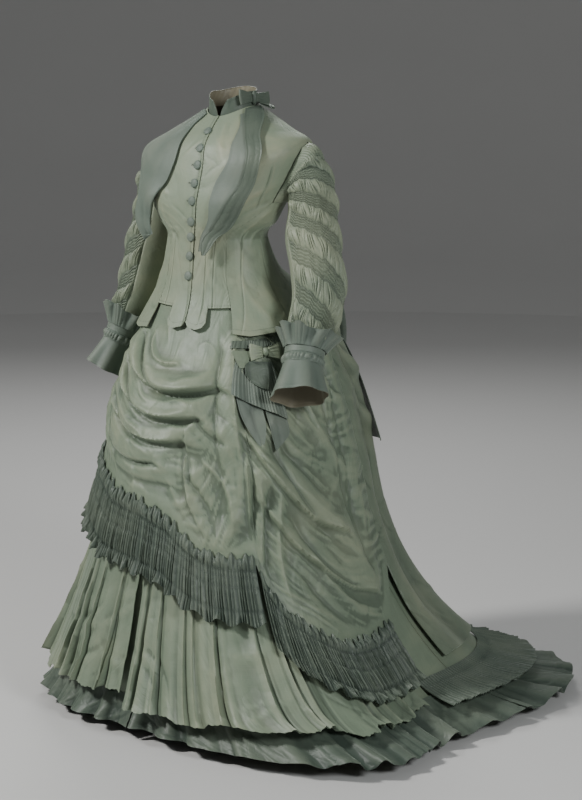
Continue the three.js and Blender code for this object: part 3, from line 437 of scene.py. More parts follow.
def wall(name, outer, inner, closed=False):
    """A closed wall of cloth between an outer grid and an inner grid that may be coarser."""

    def quads(grid, outward):
        a, b = grid[:-1], grid[1:]
        if closed:
            a, b = np.hstack([a, a[:, :1]]), np.hstack([b, b[:, :1]])
        q = np.stack([a[:, :-1], b[:, :-1], b[:, 1:], a[:, 1:]], -1).reshape(-1, 4)
        return q if outward else q[:, ::-1]

    ids = np.arange(outer.shape[0] * outer.shape[1]).reshape(outer.shape[:2])
    inner_ids = np.arange(inner.shape[0] * inner.shape[1]).reshape(inner.shape[:2]) + ids.size
    wrap = (lambda e: np.append(e, e[0])) if closed else (lambda e: e)
    faces = [quads(ids, True), quads(inner_ids, False)]
    faces.append(rim(wrap(ids[0]), wrap(inner_ids[0]), True))
    faces.append(rim(wrap(ids[-1]), wrap(inner_ids[-1]), False))
    if not closed:
        faces.append(rim(ids[:, 0], inner_ids[:, 0], False))
        faces.append(rim(ids[:, -1], inner_ids[:, -1], True))
    row_step = (outer.shape[0] - 1) // (inner.shape[0] - 1)
    col_step = outer.shape[1] // inner.shape[1] if closed else (outer.shape[1] - 1) // (inner.shape[1] - 1)
    run = lengths(outer, 1)
    cut = np.stack([run - run[:, [run.shape[1] // 2]], -lengths(outer, 0)], -1)
    uvs = np.concatenate([cut.reshape(-1, 2), cut[::row_step, ::col_step].reshape(-1, 2)])
    points = np.concatenate([outer.reshape(-1, 3), inner.reshape(-1, 3)])
    piece = mesh_object(name, points, faces, uvs)
    # Crease marks ridges and valleys for the silk, which paints shade into the valleys and fades the ridges a
    # little where rubbed.
    paint(piece.data, "Crease", np.concatenate([creases(outer, closed).ravel(), np.zeros(inner_ids.size)]))
    paint(piece.data, "Inside", (np.arange(len(points)) >= ids.size) & name.startswith(LINED))
    return piece


def lowest(field, step):
    """The lowest value round every step-th point of a field, so that a plain inside stays under it."""
    padded = np.pad(field, step, "edge")
    rows, cols = field.shape
    low = np.full(field.shape, np.inf)
    for i, j in np.ndindex(2 * step + 1, 2 * step + 1):
        low = np.minimum(low, padded[i : i + rows, j : j + cols])
    return low[::step, ::step]


def laid_cloth(name, place, across, down, off, step=4):
    """Cloth on a form: grids of places, and how far its outer face stands off the form."""
    across, down, off = np.broadcast_arrays(across, down, off)
    outer = place(across, down, off)
    under = (off if step == 1 else lowest(off, step)) - CLOTH
    return wall(name, outer, place(across[::step, ::step], down[::step, ::step], under))


def shell(name, outer, thickness, closed=False):
    return wall(name, outer, outer - grid_normals(outer, closed) * thickness, closed)


def crinkles(points, count, length, width, height, seed):
    """Short sharp creases scattered over cloth, of both signs, as a field of lifts."""
    u, v = lengths(points, 1), lengths(points, 0)
    u = u - u[:, [u.shape[1] // 2]]
    draw = np.random.default_rng(seed)
    lift = np.zeros(u.shape)
    for _ in range(count):
        x, y = draw.uniform(u.min(), u.max()), draw.uniform(v.min(), v.max())
        turn, bend = draw.uniform(0, np.pi), draw.uniform(-0.5, 0.5)
        reach, wide = length * draw.uniform(0.4, 1.3), width * draw.uniform(0.6, 1.5)
        along = (u - x) * math.cos(turn) + (v - y) * math.sin(turn)
        away = (v - y) * math.cos(turn) - (u - x) * math.sin(turn) + bend * along**2 / reach
        sign = draw.choice((-1, 1)) * draw.uniform(0.4, 1)
        lift += height * sign * np.exp(-((along / reach) ** 4) - np.abs(away / wide) ** 1.1)
    return lift


# ---------------------------------------------------------------- silk


def feed(tree, node, values):
    """Inputs of a node by name or number: sockets are linked and plain values set."""
    for key, value in values.items():
        if isinstance(value, bpy.types.NodeSocket):
            tree.links.new(value, node.inputs[key])
        else:
            node.inputs[key].default_value = value
    return node


def add_node(tree, kind, values=(), **settings):
    node = tree.nodes.new(kind)
    for name, value in settings.items():
        setattr(node, name, value)
    return feed(tree, node, dict(values))


def shader_group(name, inputs, outputs):
    group = bpy.data.node_groups.new(name, "ShaderNodeTree")
    for label, kind, default in inputs:
        socket = group.interface.new_socket(name=label, in_out="INPUT", socket_type=kind)
        if default is not None:
            socket.default_value = default
    for label, kind in outputs:
        group.interface.new_socket(name=label, in_out="OUTPUT", socket_type=kind)
    return group, group.nodes.new("NodeGroupInput"), group.nodes.new("NodeGroupOutput")


def maths(tree, operation, *values):
    """The output of a Math node fed by sockets or numbers."""
    return add_node(tree, "ShaderNodeMath", enumerate(values), operation=operation).outputs[0]


def noise_of(tree, vector, scale, detail=3.0, roughness=0.5, distortion=0.0):
    values = {"Vector": vector, "Scale": scale, "Detail": detail, "Roughness": roughness}
    return add_node(tree, "ShaderNodeTexNoise", {**values, "Distortion": distortion}).outputs["Fac"]


def joined_axes(tree, x, y):
    return add_node(tree, "ShaderNodeCombineXYZ", {"X": x, "Y": y}).outputs[0]


def eased(tree, value, low, high, **ends):
    """A number carried smoothly from one end to the other between two limits."""
    values = {"Value": value, "From Min": low, "From Max": high}
    values.update({label.replace("_", " "): end for label, end in ends.items()})
    return add_node(tree, "ShaderNodeMapRange", values, interpolation_type="SMOOTHSTEP").outputs[0]


def blend(tree, factor, a, b):
    values = {"Factor": factor, "A": a, "B": b}
    return add_node(tree, "ShaderNodeMix", values, data_type="RGBA").outputs["Result"]


def bump(tree, height, strength, distance, **below):
    values = {"Height": height, "Strength": strength, "Distance": distance, **below}
    return add_node(tree, "ShaderNodeBump", values).outputs[0]


def blank_material(name):
    """A material with its node tree and its shader."""
    material = bpy.data.materials.new(name)
    material.use_nodes = True
    return material, material.node_tree, material.node_tree.nodes["Principled BSDF"]


def clouded(name, colour, darker, scale, **surface):
    """A plain material whose colour drifts to a darker one in soft clouds."""
    material, tree, shader = blank_material(name)
    place = add_node(tree, "ShaderNodeTexCoord").outputs["Object"]
    shaded = blend(tree, noise_of(tree, place, scale), (*colour, 1), (*(c * darker for c in colour), 1))
    surface = {label.replace("_", " "): value for label, value in surface.items()}
    feed(tree, shader, {"Base Color": shaded, **surface})
    return material


def weave_group():
    """Fine cross ribs and slubs of taffeta, from the cut's own coordinates."""
    group, entry, leave = shader_group(
        "Taffeta weave",
        [
            ("Cut", "NodeSocketVector", None),
            ("Ribs per metre", "NodeSocketFloat", 620.0),
            ("Slubs", "NodeSocketFloat", 0.6),
        ],
        [("Height", "NodeSocketFloat"), ("Streak", "NodeSocketFloat")],
    )
    split = add_node(group, "ShaderNodeSeparateXYZ", {0: entry.outputs["Cut"]})
    ribs = maths(group, "MULTIPLY", split.outputs["Y"], entry.outputs["Ribs per metre"])
    rib = maths(group, "SINE", maths(group, "MULTIPLY", ribs, 2 * math.pi))
    across, down = (maths(group, "MULTIPLY", split.outputs[a], n) for a, n in (("X", 14.0), ("Y", 420.0)))
    slub = noise_of(group, joined_axes(group, across, down), 1.0, 2.0, 0.6)
    height = maths(group, "MULTIPLY_ADD", slub, entry.outputs["Slubs"], maths(group, "MULTIPLY", rib, 0.25))
    feed(group, leave, {"Height": height, "Streak": slub})
    return group


def crumple_group():
    """The soft angular creases that worn silk keeps."""
    group, entry, leave = shader_group(
        "Silk crumple",
        [
            ("Place", "NodeSocketVector", None),
            ("Cut", "NodeSocketVector", None),
            ("Scale", "NodeSocketFloat", 28.0),
        ],
        [("Height", "NodeSocketFloat")],
    )
    place, cut = entry.outputs["Place"], entry.outputs["Cut"]
    warp = add_node(group, "ShaderNodeTexNoise", {"Vector": place, "Scale": 9.0, "Detail": 2.0})
    bend = {0: warp.outputs["Color"], 1: (0.05, 0.05, 0.05), 2: place}
    shift = add_node(group, "ShaderNodeVectorMath", bend, operation="MULTIPLY_ADD")
    lines = noise_of(group, shift.outputs[0], entry.outputs["Scale"], 1.0)
    away = maths(group, "ABSOLUTE", maths(group, "SUBTRACT", lines, 0.5))
    ridge = maths(group, "MINIMUM", maths(group, "MULTIPLY", away, 5.0), 0.4)
    soft = noise_of(group, place, 16.0, 2.0, 0.5, 0.4)
    drawn = add_node(group, "ShaderNodeVectorMath", {0: cut, 1: (46.0, 9.0, 1.0)}, operation="MULTIPLY")
    streaks = noise_of(group, drawn.outputs[0], 1.0, 3.0, 0.55, 0.6)
    uneven = maths(group, "MULTIPLY_ADD", soft, 0.8, maths(group, "MULTIPLY", ridge, 0.7))
    feed(group, leave, {"Height": maths(group, "MULTIPLY_ADD", streaks, 1.1, uneven)})
    return group


def age_group():
    """Fading and faint browning in soft clouds, with streaks of the weave, painted shade in the valleys of
    creases and a little fading on their ridges.
    """
    group, entry, leave = shader_group(
        "Silk age",
        [
            ("Place", "NodeSocketVector", None),
            ("Streak", "NodeSocketFloat", 0.5),
            ("Fresh", "NodeSocketColor", (0.3, 0.35, 0.26, 1)),
            ("Faded", "NodeSocketColor", (0.4, 0.4, 0.3, 1)),
            ("Shadowed", "NodeSocketColor", (0.2, 0.25, 0.2, 1)),
            ("Fading", "NodeSocketFloat", 0.5),
            ("Crease", "NodeSocketFloat", 0.0),
            ("Inside", "NodeSocketFloat", 0.0),
            ("Lining", "NodeSocketColor", (0.3, 0.25, 0.17, 1)),
        ],
        [("Color", "NodeSocketColor"), ("Wear", "NodeSocketFloat")],
    )
    place = entry.outputs["Place"]
    cloud = noise_of(group, place, 5.5, 3.0, 0.5, 0.4)
    fine = noise_of(group, place, 38.0, 4.0, 0.6)
    worn = maths(group, "MULTIPLY", eased(group, cloud, 0.42, 0.72), entry.outputs["Fading"])
    worn = maths(group, "MULTIPLY_ADD", fine, maths(group, "MULTIPLY", entry.outputs["Fading"], 0.35), worn)
    dark = maths(group, "MULTIPLY", maths(group, "SUBTRACT", 1.0, cloud), 0.45)
    dark = maths(group, "MULTIPLY_ADD", entry.outputs["Streak"], 0.3, dark)

    def clamped(value):
        return maths(group, "MINIMUM", maths(group, "MAXIMUM", value, 0.0), 1.0)

    # Painted shade: where the Crease attribute falls below 0, in the valleys of folds, the colour goes toward
    # the Shadowed one; ridges fade a little where rubbed.
    valley_shade = clamped(maths(group, "MULTIPLY", entry.outputs["Crease"], -1.15))
    ridge = clamped(maths(group, "MULTIPLY", entry.outputs["Crease"], 0.55))
    rubbed = maths(group, "MULTIPLY_ADD", ridge, fine, worn)
    # The Shadowed colour serves both the darker clouds of tone and the painted shade of the valleys.
    shade = clamped(maths(group, "ADD", dark, valley_shade))
    base = blend(group, shade, entry.outputs["Fresh"], entry.outputs["Shadowed"])
    cloth = blend(group, clamped(rubbed), base, entry.outputs["Faded"])
    lined = blend(group, entry.outputs["Inside"], cloth, entry.outputs["Lining"])
    feed(group, leave, {"Color": lined, "Wear": fine})
    return group


SMOCK = {"pitch": 1.28, "start": 0.55, "slant": 1.9, "band": 0.46, "puff": 7.0, "rows": 5, "gathers": 58}


def shirring_group():
    """Rows of drawn threads with pinched gathers, over the slanting bands of the smocking, and painted shade
    for the hollows between the rows.
    """
    group, entry, leave = shader_group(
        "Shirred threads",
        [
            ("Smock", "NodeSocketVector", None),
            ("Band", "NodeSocketFloat", SMOCK["band"]),
            ("Rows", "NodeSocketFloat", float(SMOCK["rows"])),
            ("Gathers per turn", "NodeSocketFloat", 110.0),
        ],
        [("Height", "NodeSocketFloat"), ("Valley", "NodeSocketFloat")],
    )
    split = add_node(group, "ShaderNodeSeparateXYZ", {0: entry.outputs["Smock"]})
    turn, drop, part = (split.outputs[axis] for axis in "XYZ")
    band, rows = entry.outputs["Band"], entry.outputs["Rows"]
    phase = maths(group, "FRACT", drop)
    in_band = eased(group, phase, band, maths(group, "ADD", band, 0.05), To_Min=1.0, To_Max=0.0)
    stray = joined_axes(group, maths(group, "MULTIPLY", turn, 14.0), maths(group, "MULTIPLY", drop, 5.0))
    jitter = maths(group, "MULTIPLY", noise_of(group, stray, 1.0, 2.0, 0.6), 5.0)
    in_row = maths(group, "DIVIDE", maths(group, "MULTIPLY", phase, rows), band)
    row = maths(group, "ABSOLUTE", maths(group, "SINE", maths(group, "MULTIPLY", in_row, math.pi)))
    along = maths(group, "MULTIPLY_ADD", turn, entry.outputs["Gathers per turn"], jitter)
    pinch = maths(group, "SINE", maths(group, "MULTIPLY", along, 2 * math.pi))
    rib = maths(group, "MULTIPLY", row, maths(group, "MULTIPLY_ADD", pinch, 0.12, 0.88))
    banded = maths(group, "MULTIPLY", in_band, part)
    # Painted shade: the hollows between the drawn rows darken the silk's colour through its crease shading.
    hollow = maths(group, "MULTIPLY", maths(group, "SUBTRACT", rib, 0.85), banded)
    height, valley_shade = maths(group, "MULTIPLY", rib, banded), maths(group, "MULTIPLY", hollow, 0.55)
    feed(group, leave, {"Height": height, "Valley": valley_shade})
    return group


WEAVE, CRUMPLE, AGE, SHIRRING = weave_group(), crumple_group(), age_group(), shirring_group()

LINING = (0.18, 0.165, 0.115)  # glazed cotton behind the silk


def silk(name, fresh, faded, shadowed, fading, gloss, crumple, scale=28.0, smocked=False):
    """A silk taffeta with its own greens."""
    material, tree, shader = blank_material(name)
    place = add_node(tree, "ShaderNodeTexCoord").outputs["Object"]
    cut = add_node(tree, "ShaderNodeUVMap", uv_map="Cut").outputs[0]

    def grouped(group, **values):
        return feed(tree, add_node(tree, "ShaderNodeGroup", node_tree=group), values)

    def attribute(label, output="Fac"):
        return add_node(tree, "ShaderNodeAttribute", attribute_name=label).outputs[output]

    weave = grouped(WEAVE, Cut=cut)
    crumpled = grouped(CRUMPLE, Place=place, Cut=cut, Scale=scale)
    crease = attribute("Crease")
    normal = bump(tree, crumpled.outputs["Height"], crumple, 0.0022)
    if smocked:
        shirred = grouped(SHIRRING, Smock=attribute("Smock", "Vector"))
        # The smocking's hollows add their painted shade to the painted shade of the creases.
        crease = maths(tree, "ADD", crease, shirred.outputs["Valley"])
        normal = bump(tree, shirred.outputs["Height"], 0.9, 0.0028, Normal=normal)
    normal = bump(tree, weave.outputs["Height"], 0.35, 0.00018, Normal=normal)
    # The age group paints shade into crease valleys and fades the ridges a little where rubbed.
    aged = grouped(
        AGE, Place=place, Streak=weave.outputs["Streak"],
        Fresh=(*fresh, 1), Faded=(*faded, 1), Shadowed=(*shadowed, 1), Fading=fading,
        Crease=crease, Inside=attribute("Inside"), Lining=(*LINING, 1),
    )
    rough = maths(tree, "MULTIPLY_ADD", aged.outputs["Wear"], 0.24, gloss - 0.12)
    feed(tree, shader, {
        "Base Color": aged.outputs["Color"], "Roughness": rough, "Normal": normal, "Specular IOR Level": 0.36,
        "Sheen Weight": 0.25, "Sheen Roughness": 0.35, "Sheen Tint": (0.72, 0.84, 0.7, 1),
    })
    return material


# Each silk's third colour is its shadowed one: painted shade for crease valleys and smocking hollows, and the
# darker tone of its clouds.
LIGHT = silk(
    "Sage silk", (0.185, 0.24, 0.17), (0.265, 0.29, 0.2), (0.085, 0.115, 0.082),
    fading=0.4, gloss=0.48, crumple=0.7, scale=11.0,
)
BODICE = silk(
    "Sage silk of the bodice", (0.225, 0.285, 0.205), (0.32, 0.315, 0.21), (0.11, 0.145, 0.1),
    fading=0.45, gloss=0.5, crumple=0.34, scale=14.0,
)
SMOCKED = silk(
    "Smocked sage silk", (0.185, 0.232, 0.165), (0.26, 0.28, 0.195), (0.075, 0.1, 0.072),
    fading=0.4, gloss=0.5, crumple=0.2, scale=40.0, smocked=True,
)
DARK = silk(
    "Dark green silk", (0.088, 0.116, 0.09), (0.14, 0.165, 0.125), (0.036, 0.054, 0.042),
    fading=0.4, gloss=0.48, crumple=0.45, scale=40.0,
)
SCARF = silk(
    "Grey-green silk", (0.128, 0.166, 0.136), (0.18, 0.2, 0.16), (0.07, 0.095, 0.077),
    fading=0.45, gloss=0.56, crumple=0.16, scale=30.0,
)
# A darker copy of the sage silk, about four fifths as bright: painted shade over the overskirt's back.
TRAIN = silk(
    "Shaded sage silk", (0.15, 0.192, 0.138), (0.22, 0.245, 0.172), (0.07, 0.095, 0.068),
    fading=0.45, gloss=0.44, crumple=0.75,
)


def finish(piece, material, *nodes):
    """Gives a piece its silk and its place in the frame."""
    piece.data.materials.clear()
    piece.data.materials.append(material)
    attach(piece, BODY)
    if nodes:
        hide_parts(*nodes)
    return piece


def sew(piece, material, node, flat, held, rests_on, area=None):
    """A cloth piece in place of its node, given its silk and its place in the frame; the size it was cut to,
    in millimetres, is not used.
    """
    finish(piece, material, node)
    cut = tuple(side * MM for side in flat)
    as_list(rests_on)
    return piece


# ---------------------------------------------------------------- skirt


def spread(start, stop, count):
    return np.linspace(start, stop, count + 1)


def above_floor(points, clearance):
    points = points.copy()
    points[..., 2] = np.maximum(points[..., 2], clearance - WAIST_HEIGHT)
    return points


def floor_cloth(name, angle, row, off, clearance, step=1, drop=0):
    """A wall of cloth on the skirt's form that stops short of the floor."""
    angle, row, off = np.broadcast_arrays(angle, row, off)
    under = (slice(None, None, step),) * 2
    outer = above_floor(off_skirt(angle, row, off) - drop, clearance)
    inner = off_skirt(angle[under], row[under], off[under] - CLOTH) - drop
    return wall(name, outer, above_floor(inner, clearance - CLOTH))


GORES = [
    ("skirt_front_gore", -44, 44, 32, (770, 1130), 0.5),
    ("skirt_side_gore_left", 44, 112, 28, (570, 1190), 0.45),
    ("skirt_side_gore_right", -112, -44, 28, (530, 1100), 0.39),
    ("skirt_train_back", 112, 248, 64, (1450, 1290), 1.08),
]
GORE_GAP = 0.12  # half the seam gap between gores at the waist, in degrees
GORE_LAST_ROW = 9.6
GORE_CLEARANCE = 4  # over the floor

for name, start, stop, count, cut, area in GORES:
    angles, rows = np.meshgrid(spread(start + GORE_GAP, stop - GORE_GAP, count), spread(0, GORE_LAST_ROW, 96))
    piece = floor_cloth(name + "_cloth", angles, rows, 0, GORE_CLEARANCE, step=2)
    sew(piece, LIGHT, name, cut, "hung", ["waistband"], area)

BAND = {"top": 1076, "bottom": 1058.4, "wider": 0.5, "thick": 2.4}
angles = spread(-180, 180, 72)[:-1]
edge = on_skirt(angles, 0) * (1 + BAND["wider"] / 100)
levels = spread(BAND["top"], BAND["bottom"], 4) - WAIST_HEIGHT
rows = [np.column_stack([edge[:, :2], np.full(len(edge), level)]) for level in levels]
band = shell("waistband_cloth", np.stack(rows), BAND["thick"], closed=True)
sew(band, LIGHT, "waistband", (620, 20), "stretched", ["skirt_front_gore", "skirt_train_back"])

FLOUNCES = [
    ("walking_flounce_right", -112.2, 3.2, 12, 8.95, (1060, 270), 11),
    ("walking_flounce_left", 3.8, 97, 12, 9.32, (1100, 210), 12),
]
# Its first row and full length in skirt rows, how far it stands off at the top and swings out at the foot,
# how far it starts below the apron's edge, its last recess, and the points in a pleat and down the flounce.
FLOUNCE = {
    "top": 6.4, "length": 2.55, "stand": 3.2, "swing": 34,
    "below": 0.15, "recess": 0.22, "steps": 24, "rows": 36,
}


def laid_pleats(turns):
    """Broad faces that rise to a crisp fold and drop behind it."""
    t = turns % 1
    return (0.25 + 0.75 * np.clip(t / 0.86, 0, 1)) * (1 - smooth(0.86, 0.93, t)) + 0.25 * smooth(0.95, 1, t)


def per_pleat(value, turns):
    """A value of each pleat's own, carried over in the recess after it."""
    n, t = np.floor(turns), turns % 1
    return mix(value(n), value(n + 1), smooth(0.7, 0.98, t))


for name, start, stop, pleats, last_row, cut, seed in FLOUNCES:
    turns = spread(0, pleats - FLOUNCE["recess"], pleats * FLOUNCE["steps"])
    turns, share = np.meshgrid(turns, spread(0, 1, FLOUNCE["rows"]))
    angle = start + turns * (stop - start) / pleats
    top = np.maximum(FLOUNCE["top"], apron_edge(angle) + FLOUNCE["below"])
    ragged = 0.02 * wave(turns * 1.7) + 0.012 * wave(turns * 5.3)
    bottom = last_row + per_pleat(lambda n: 0.1 * wave(n * 0.61), turns) + ragged
    row = mix(top, bottom, share)
    down = (row - top) / FLOUNCE["length"]
    leaned = turns + 0.1 * down * wave(np.floor(turns) * 0.29 + 0.4)
    uneven = per_pleat(lambda n: 0.75 + 0.3 * wave(n * 0.37 + 0.1), turns)
    drift = 0.36 * wave(leaned * 0.31 + 0.2) + 0.22 * wave(leaned * 0.83)
    depth = (4 + 22 * down) * uneven * laid_pleats(leaned + drift)
    flat = FLOUNCE["stand"] + FLOUNCE["swing"] * down**1.3
    points = off_skirt(angle, row, flat)
    broad = crinkles(points, 30, 90, 14, 4.6, seed) + crinkles(points, 36, 40, 5, 1.8, seed + 40)
    off = np.maximum(flat + depth - 4 * down + broad * smooth(0.02, 0.3, down), 1.0 + 18 * down)
    piece = laid_cloth(name + "_cloth", off_skirt, angle, row, off, step=1)
    sew(piece, LIGHT, name, cut, "hung", ["skirt_front_gore"])

HEM = [
    ("hem_ruffle_right", -114, 3, 11, 4.2, (1000, 84), 21),
    ("hem_ruffle_left", 3.4, 112, 12, 6.4, (1200, 110), 22),
    ("hem_ruffle_train", 112.4, 245.6, 15, 5.1, (1700, 95), 23),
]
# How far the ruffle swings out and hangs below the form, what it keeps from the floor, the skirt row where
# it ends, and the points in a wave and down the ruffle.
RUFFLE = {"swing": 28, "drop": 15, "clear": 2.4, "last": 10.18, "steps": 28, "rows": 20}

for name, start, stop, waves, stand, cut, seed in HEM:
    u, v = np.meshgrid(spread(0, 1, waves * RUFFLE["steps"]), spread(0, 1, RUFFLE["rows"]))
    angle = mix(start, stop, u)
    turns = u * waves
    uneven = 0.7 + 0.3 * wave(turns * 0.23)
    turn = wave(turns + 0.25 + 0.09 * wave(turns * 0.71))
    turn = np.sign(turn) * np.abs(turn) ** 0.8
    on_train = smooth(100, 130, angle)
    first = mix(9.02, 9.45, on_train)
    row = mix(first, RUFFLE["last"] + 0.012 * wave(turns * 2.3), v)
    off = mix(stand, RUFFLE["swing"], v) + (2 + 11 * v) * uneven * turn + 6 * on_train * v
    points = off_skirt(angle, row, off)
    pleats = (0.7 + 2.2 * v) * np.abs(wave(turns * 1.1 + 0.3 * wave(turns * 0.37)))
    off = off + pleats * smooth(0.0, 0.15, v) + crinkles(points, 60, 40, 6, 2.6, seed) * smooth(0, 0.3, v)
    drop = stacked(0, 0, RUFFLE["drop"] * v)
    piece = floor_cloth(name + "_cloth", angle, row, off, RUFFLE["clear"], drop=drop)
    sew(piece, DARK, name, cut, "gathered", ["skirt_front_gore"])

# ---------------------------------------------------------------- overskirt

def drawn_wrinkles(angle, row):
    """Narrow wrinkles that run along the swags, in patches."""
    right = np.clip((angle + 50) / 75, -0.6, 1.2)
    left = np.clip((angle - 46) / 48, -0.2, 1.3)
    along_right = row - 1.05 * right - 1.76 * right * (1 - right)
    along_left = row - 1.5 * left - 1.0 * left * (1 - left)
    swag = mix(along_right, along_left, smooth(26, 46, angle))
    swag = swag + 0.05 * wave(angle / 34 + swag) + 0.02 * wave(angle / 13 - swag * 2)
    lift = 0
    for pitch, height, shift in ((2.7, 3.4, 0.1), (4.9, 2.0, 0.37), (8.3, 1.0, 0.61)):
        crossed = 0.8 * wave(angle / 47 + swag * 0.7 + shift) * wave(swag * 0.9 - angle / 71 + shift)
        patch = np.clip(0.45 + crossed, 0, 1)
        lift = lift + height * patch * (1 - np.abs(wave(swag * pitch * 0.5 + shift))) ** 2
    return (lift - 1.2) * mix(smooth(3.1, 3.9, row), 1, smooth(30, 50, angle))


angles = np.concatenate([spread(-112, STEP_ANGLE - 0.4, 248), spread(STEP_ANGLE + 0.4, 112.5, 127)])
share, angle = np.meshgrid(spread(0, 1, 232), angles, indexing="ij")
row = mix(0.06, apron_edge(angle), share)
calm = apron_calm(angle, row)
points = off_skirt(angle, row, apron_stand(row))
draped = smooth(1.9, 2.8, row) * (1 - smooth(-0.35, -0.05, row - apron_edge(angle)))
crushed = crinkles(points, 130, 62, 7, 2.6, 31) + crinkles(points, 240, 26, 3.2, 1.3, 32)
crushed = crushed + drawn_wrinkles(angle, row)
laid = 1.25 * fold_lift(PLAITS, angle, row, dropped) - 3
off = apron_off(angle, row) + calm * (1.5 * fold_lift(TUCKS, angle, row, pinched) + laid) + draped * crushed
off = np.maximum(off, apron_stand(row) - 11 * calm)
piece = laid_cloth("apron_overskirt_cloth", off_skirt, angle, row, off)
sew(piece, LIGHT, "apron_overskirt", (1500, 930), "draped", ["skirt_front_gore", "waistband"], 0.7)

PLISSE = [
    ("apron_flounce_right", SWAG_RIGHT, -110, 47.2, 150, 0.94, 1.5, (1840, 135)),
    ("apron_flounce_left", SWAG_LEFT, 48.4, 99, 66, 1.04, 1.9, (810, 130)),
]
PLEAT_STEPS = 8  # columns in a fine pleat
PLISSE_ROWS = 20  # rows of points down a fine flounce
LAP = 0.12  # skirt rows by which a fine flounce laps over the apron's edge
HEADING = 0.2  # share of the flounce above its gathering threads
DRAWN_UP = (HEADING, HEADING + 0.12, HEADING + 0.24, 0.8)  # shares at which it is held in
THREADED = (HEADING, HEADING + 0.1, HEADING + 0.25)  # shares at which the thread shows
FLOUNCE_THREADS = {}  # rows of gathering thread, as points on each flounce


def fine_pleats(turns):
    """Narrow ridges with a quick rise and a slower fall."""
    t = turns % 1
    return np.where(t < 0.38, smooth(0, 0.38, t), 1 - smooth(0.38, 1, t))


for name, swag, start, stop, pleats, depth, stand, cut in PLISSE:
    u, v = np.meshgrid(spread(0, 1, pleats * PLEAT_STEPS), spread(0, 1, PLISSE_ROWS))
    angle = mix(start, stop, u)
    top = lookup(swag, angle) - LAP
    turns = u * pleats
    frill = smooth(0.84, 1, v)
    ragged = 0.045 * wave(turns * 0.19 + 0.3 * wave(turns * 0.05)) + 0.025 * wave(turns * 0.43)
    row = top + (depth + LAP) * v + frill * 0.045 * wave(turns * 0.15 + 0.2)
    row = row - ragged * (1 - smooth(0, HEADING, v))
    gather = sum(np.exp(-(((v - line) / 0.03) ** 2)) for line in DRAWN_UP)
    above = 1 - smooth(HEADING - 0.06, HEADING, v)
    strayed = 0.3 * wave(turns * 0.117) + 0.2 * wave(turns * 0.31 + 0.3 * v) + 0.4 * v * wave(turns * 0.043)
    uneven = 1 + 0.35 * wave(turns * 0.173 + 0.2 * v) + 0.2 * wave(turns * 0.41 - 0.4 * v)
    ridge = mix(2.8, 5.2, v) * uneven * fine_pleats(turns + strayed)
    ruche = np.abs(wave(turns * 0.13 + 0.3 * wave(turns * 0.053) + 0.5 * v)) * 6
    ruche = above * (ruche + 2.6 * np.abs(wave(turns * 0.37 + 1.3 * v)))
    ridge = ridge * (1 - 0.45 * gather) * (1 - 0.6 * above)
    ridge = ridge + ruche * np.sin(np.pi * np.clip(v / HEADING, 0.1, 1))
    off = apron_stand(row) + CLOTH + stand + 5 * v - 1.1 * gather + ridge
    fluted = 6.5 * wave(turns * 0.15 + 0.3 * wave(turns * 0.05)) + 3
    off = off + frill * fluted + v * 1.3 * wave(turns * 0.027)
    piece = laid_cloth(name + "_cloth", off_skirt, angle, row, off, step=1)
    sew(piece, DARK, name, cut, "gathered", ["apron_overskirt"])
    outer = off_skirt(angle, row, off + 0.15)
    FLOUNCE_THREADS[name] = [outer[round(line * PLISSE_ROWS)] for line in THREADED]

BACK_TUCKS = table(FOLD_COLUMNS, [
    (128, 2.3, 172, 3.6, 0.3, 13, 9),
    (232, 2.3, 190, 3.6, 0.3, 13, 9),
    (124, 3.0, 168, 4.4, 0.35, 12, 9),
    (236, 3.0, 194, 4.4, 0.35, 12, 9),
    (120, 3.8, 160, 5.2, 0.3, 11, 8),
    (240, 3.8, 200, 5.2, 0.3, 11, 8),
    (150, 5.0, 144, 7.6, 0.1, 12, 7),
    (176, 4.8, 178, 7.8, 0.05, 12, 8),
    (206, 5.0, 212, 7.8, 0.1, 12, 7),
    (130, 5.2, 124, 7.9, 0.1, 10, -6),
    (192, 5.6, 196, 8.0, 0.05, 10, -6),
    (164, 6.0, 160, 8.1, 0.05, 9, -6),
    (226, 5.4, 232, 8.0, 0.1, 10, -6),
])
BACK = {"from": 113.2, "to": 246.8, "top": 0.06, "bottom": 8.5}
angle, row = np.meshgrid(spread(BACK["from"], BACK["to"], 216), spread(BACK["top"], BACK["bottom"], 168))
folds = 7 * smooth(2.4, 3.6, row) * wave((angle - BACK["from"]) / 19)
points = off_skirt(angle, row, 10)
calm = smooth(2.2, 3.2, row) * (1 - smooth(7.9, 8.4, row))
crushed = crinkles(points, 120, 80, 8, 2.6, 41) + crinkles(points, 160, 34, 4, 1.3, 42)
off = apron_stand(row) * (1 - 0.35 * row / BACK["bottom"]) + folds
off = off + calm * (fold_lift(BACK_TUCKS, angle, row) + crushed)
off = np.maximum(off, mix(3.4, 2.2, calm))
piece = laid_cloth("overskirt_back_cloth", off_skirt, angle, row, off)
sew(piece, TRAIN, "overskirt_back", (1190, 1110), "draped", ["skirt_train_back", "waistband"], 0.9)

